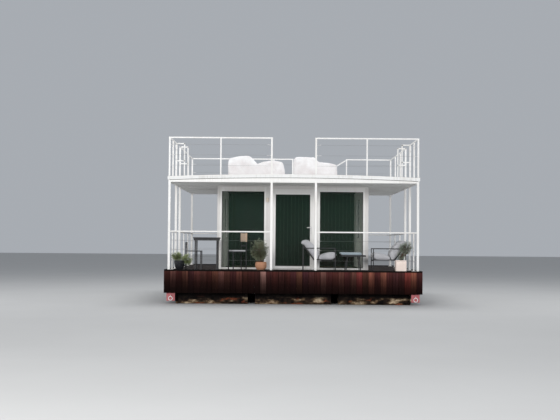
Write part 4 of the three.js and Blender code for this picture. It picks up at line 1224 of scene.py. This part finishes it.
# Root and centre as distance across and height, the crown's radii, leaves, their length, and stems.
BUSHES = {
    "middle": [((0, 0.19), (-0.047, 0.565), (0.270, 0.25, 0.285), 3600, 0.040, 64)],
    "left": [
        ((-0.03, 0.22), (-0.070, 0.375), (0.155, 0.16, 0.130), 2800, 0.030, 34),
        ((0.07, 0.22), (0.215, 0.285), (0.140, 0.15, 0.150), 2300, 0.030, 30),
    ],
    "right": [
        ((0, 0.27), (0.14, 0.66), (0.20, 0.17, 0.185), 2300, 0.032, 38),
        ((0, 0.27), (-0.01, 0.44), (0.15, 0.13, 0.12), 700, 0.028, 20),
    ],
}
# Points of radius and height of the turned pots, and of the soil in them.
POTS = {
    "middle": [
        (0.0, 0.001), (0.066, 0.001), (0.082, 0.006), (0.113, 0.027), (0.137, 0.060), (0.151, 0.100),
        (0.157, 0.140), (0.155, 0.176), (0.149, 0.203), (0.143, 0.213), (0.148, 0.219), (0.150, 0.227),
        (0.145, 0.231), (0.134, 0.229), (0.132, 0.205), (0.140, 0.185), (0.0, 0.180),
    ],
    "left": [
        (0.0, 0.001), (0.072, 0.001), (0.084, 0.010), (0.110, 0.050), (0.130, 0.110), (0.143, 0.180),
        (0.148, 0.232), (0.150, 0.248), (0.145, 0.254), (0.136, 0.248), (0.130, 0.215), (0.0, 0.215),
    ],
}
SOIL = {
    "middle": [(0.0, 0.182), (0.136, 0.187), (0.130, 0.199), (0.09, 0.206), (0.0, 0.209)],
    "left": [(0.0, 0.210), (0.128, 0.210), (0.128, 0.222), (0.07, 0.230), (0.0, 0.232)],
}
BOX_HALF, BOX_HIGH, BOX_WALL = 0.1405, 0.300, 0.014


def square_pot(pot, soil, x, y):
    """Four walls and a bottom, with soil to just below the rim."""
    inner = BOX_HALF - BOX_WALL
    foot, top = DECK + 0.001, DECK + BOX_HIGH
    bottom = foot + 0.02
    for side in SIDES:
        pot.box(around(x, BOX_HALF), (y + side * inner, y + side * BOX_HALF), (foot, top), 0.003)
        pot.box((x + side * inner, x + side * BOX_HALF), around(y, inner), (foot, top), 0.003)
    pot.box(around(x, inner), around(y, inner), (foot, bottom), 0.002)
    soil.box(around(x, inner), around(y, inner), (bottom, top - 0.025), 0.004)


def make_planters():
    y = PLANTER_Y
    stems, soil = Shape(), Shape()
    for place, x, pot_name, clay, plant, foliage in PLANTERS:
        rng = random.Random(place + " planter")
        pot, leaves = Shape(), Shape()
        if place in POTS:
            pot.lathe(POTS[place], (x, y, DECK))
            soil.lathe(SOIL[place], (x, y, DECK), 24)
        else:
            square_pot(pot, soil, x, y)
        pot.piece(pot_name, clay, replaces=[f"planter_{place}"], smooth=35 if place in POTS else 0)
        for (root, low), (centre, high), *crown in BUSHES[place]:
            bush(leaves, stems, rng, (x + root, y, DECK + low), (x + centre, y, DECK + high), *crown)
        leaves.piece(plant, foliage, slot=clay)
    stems.piece("plant_stems", "bark", slot="terracotta", smooth=60)
    soil.piece("planter_soil", "soil", slot="terracotta")


# Stage, lights and camera

FLOOR_SIZE = 220
CAMERA = {"place": (-0.325, -30.45, 1.93), "lens": 65.27, "pitch": 1.862, "yaw": 0.08, "roll": 0.44}


def make_stage():
    bpy.ops.mesh.primitive_plane_add(size=FLOOR_SIZE, location=(0, 0, WATERLINE))
    floor = bpy.context.object
    floor.name = "floor"
    look = Look("pale_floor", 0.85)
    clouds = look.spread(look.noise(2.5, 3), 0.0, 1.0)
    floor.data.materials.append(look.finish(look.mix(clouds, (0.50, 0.50, 0.495), (0.52, 0.52, 0.515))))
    world = bpy.data.worlds.new("studio")
    bpy.context.scene.world = world
    world.use_nodes = True
    background = world.node_tree.nodes["Background"]
    background.inputs["Color"].default_value = (0.83, 0.88, 0.95, 1)
    background.inputs["Strength"].default_value = 0.47


def area_light(name, place, target, size, power, colour=(1, 1, 1), mirrored=False):
    """A soft round light. One that isn't mirrored leaves no bright spot in the glass."""
    light = bpy.data.lights.new(name, "AREA")
    light.shape = "DISK"
    light.size = size
    light.energy = power
    light.color = colour
    lamp = linked(name, light)
    lamp.location = place
    lamp.rotation_mode = "QUATERNION"
    lamp.rotation_quaternion = (Vector(target) - Vector(place)).to_track_quat("-Z", "Y")
    lamp.visible_glossy = mirrored
    lamp.visible_camera = False


def make_lights():
    bpy.context.scene.view_settings.view_transform = "Standard"
    area_light("key", (-8, -30, 9), (0, -1, 2.4), 8, 2850, (1.0, 0.985, 0.96), mirrored=True)
    area_light("fill", (11, -35, 8.5), (0, -1, 2.2), 12, 3000, (0.97, 0.98, 1.0))
    area_light("top", (0, 2, 18), (0, 0, 2), 10, 1500, mirrored=True)
    # Light from the floor in front of the boat, which faces straight up.
    area_light("bounce", (0, -7.4, WATERLINE + 0.04), (0, -7.4, 5), 5, 40, (1.0, 0.96, 0.94))
    for side in SIDES:
        area_light("side", (side * 16, -6, 4.6), (side * 3, 2, 2.6), 6, 480)
        # Daylight inside the cabin, which falls on its side walls.
        area_light("room", (side * 0.4, 0.6, 1.9), (side * 2, 0.6, 1.9), 1.6, 10, (0.94, 1.0, 0.92))


def make_camera():
    data = bpy.data.cameras.new("camera")
    data.lens = CAMERA["lens"]
    data.sensor_width = 36
    data.clip_end = 400
    camera = linked("camera", data)
    camera.matrix_world = Matrix.Translation(CAMERA["place"])
    for angle, axis in ((CAMERA["yaw"], "Z"), (90 + CAMERA["pitch"], "X"), (CAMERA["roll"], "Z")):
        camera.matrix_world @= Matrix.Rotation(math.radians(angle), 4, axis)
    bpy.context.scene.camera = camera


make_camera()
make_stage()
make_lights()
make_skirts()
make_deck()
make_cabin_floor()
make_cabin_lining()
make_cabin_trim()
make_gaskets()
make_foot_plates()
make_rails()
make_roof_edges()
make_roof_seams()
make_mooring()
make_pontoon_seams()
make_stair_grip()
make_bean_bags()
make_cushions()
make_tray()
make_chair_pads()
make_planters()

bpy.context.view_layer.update()
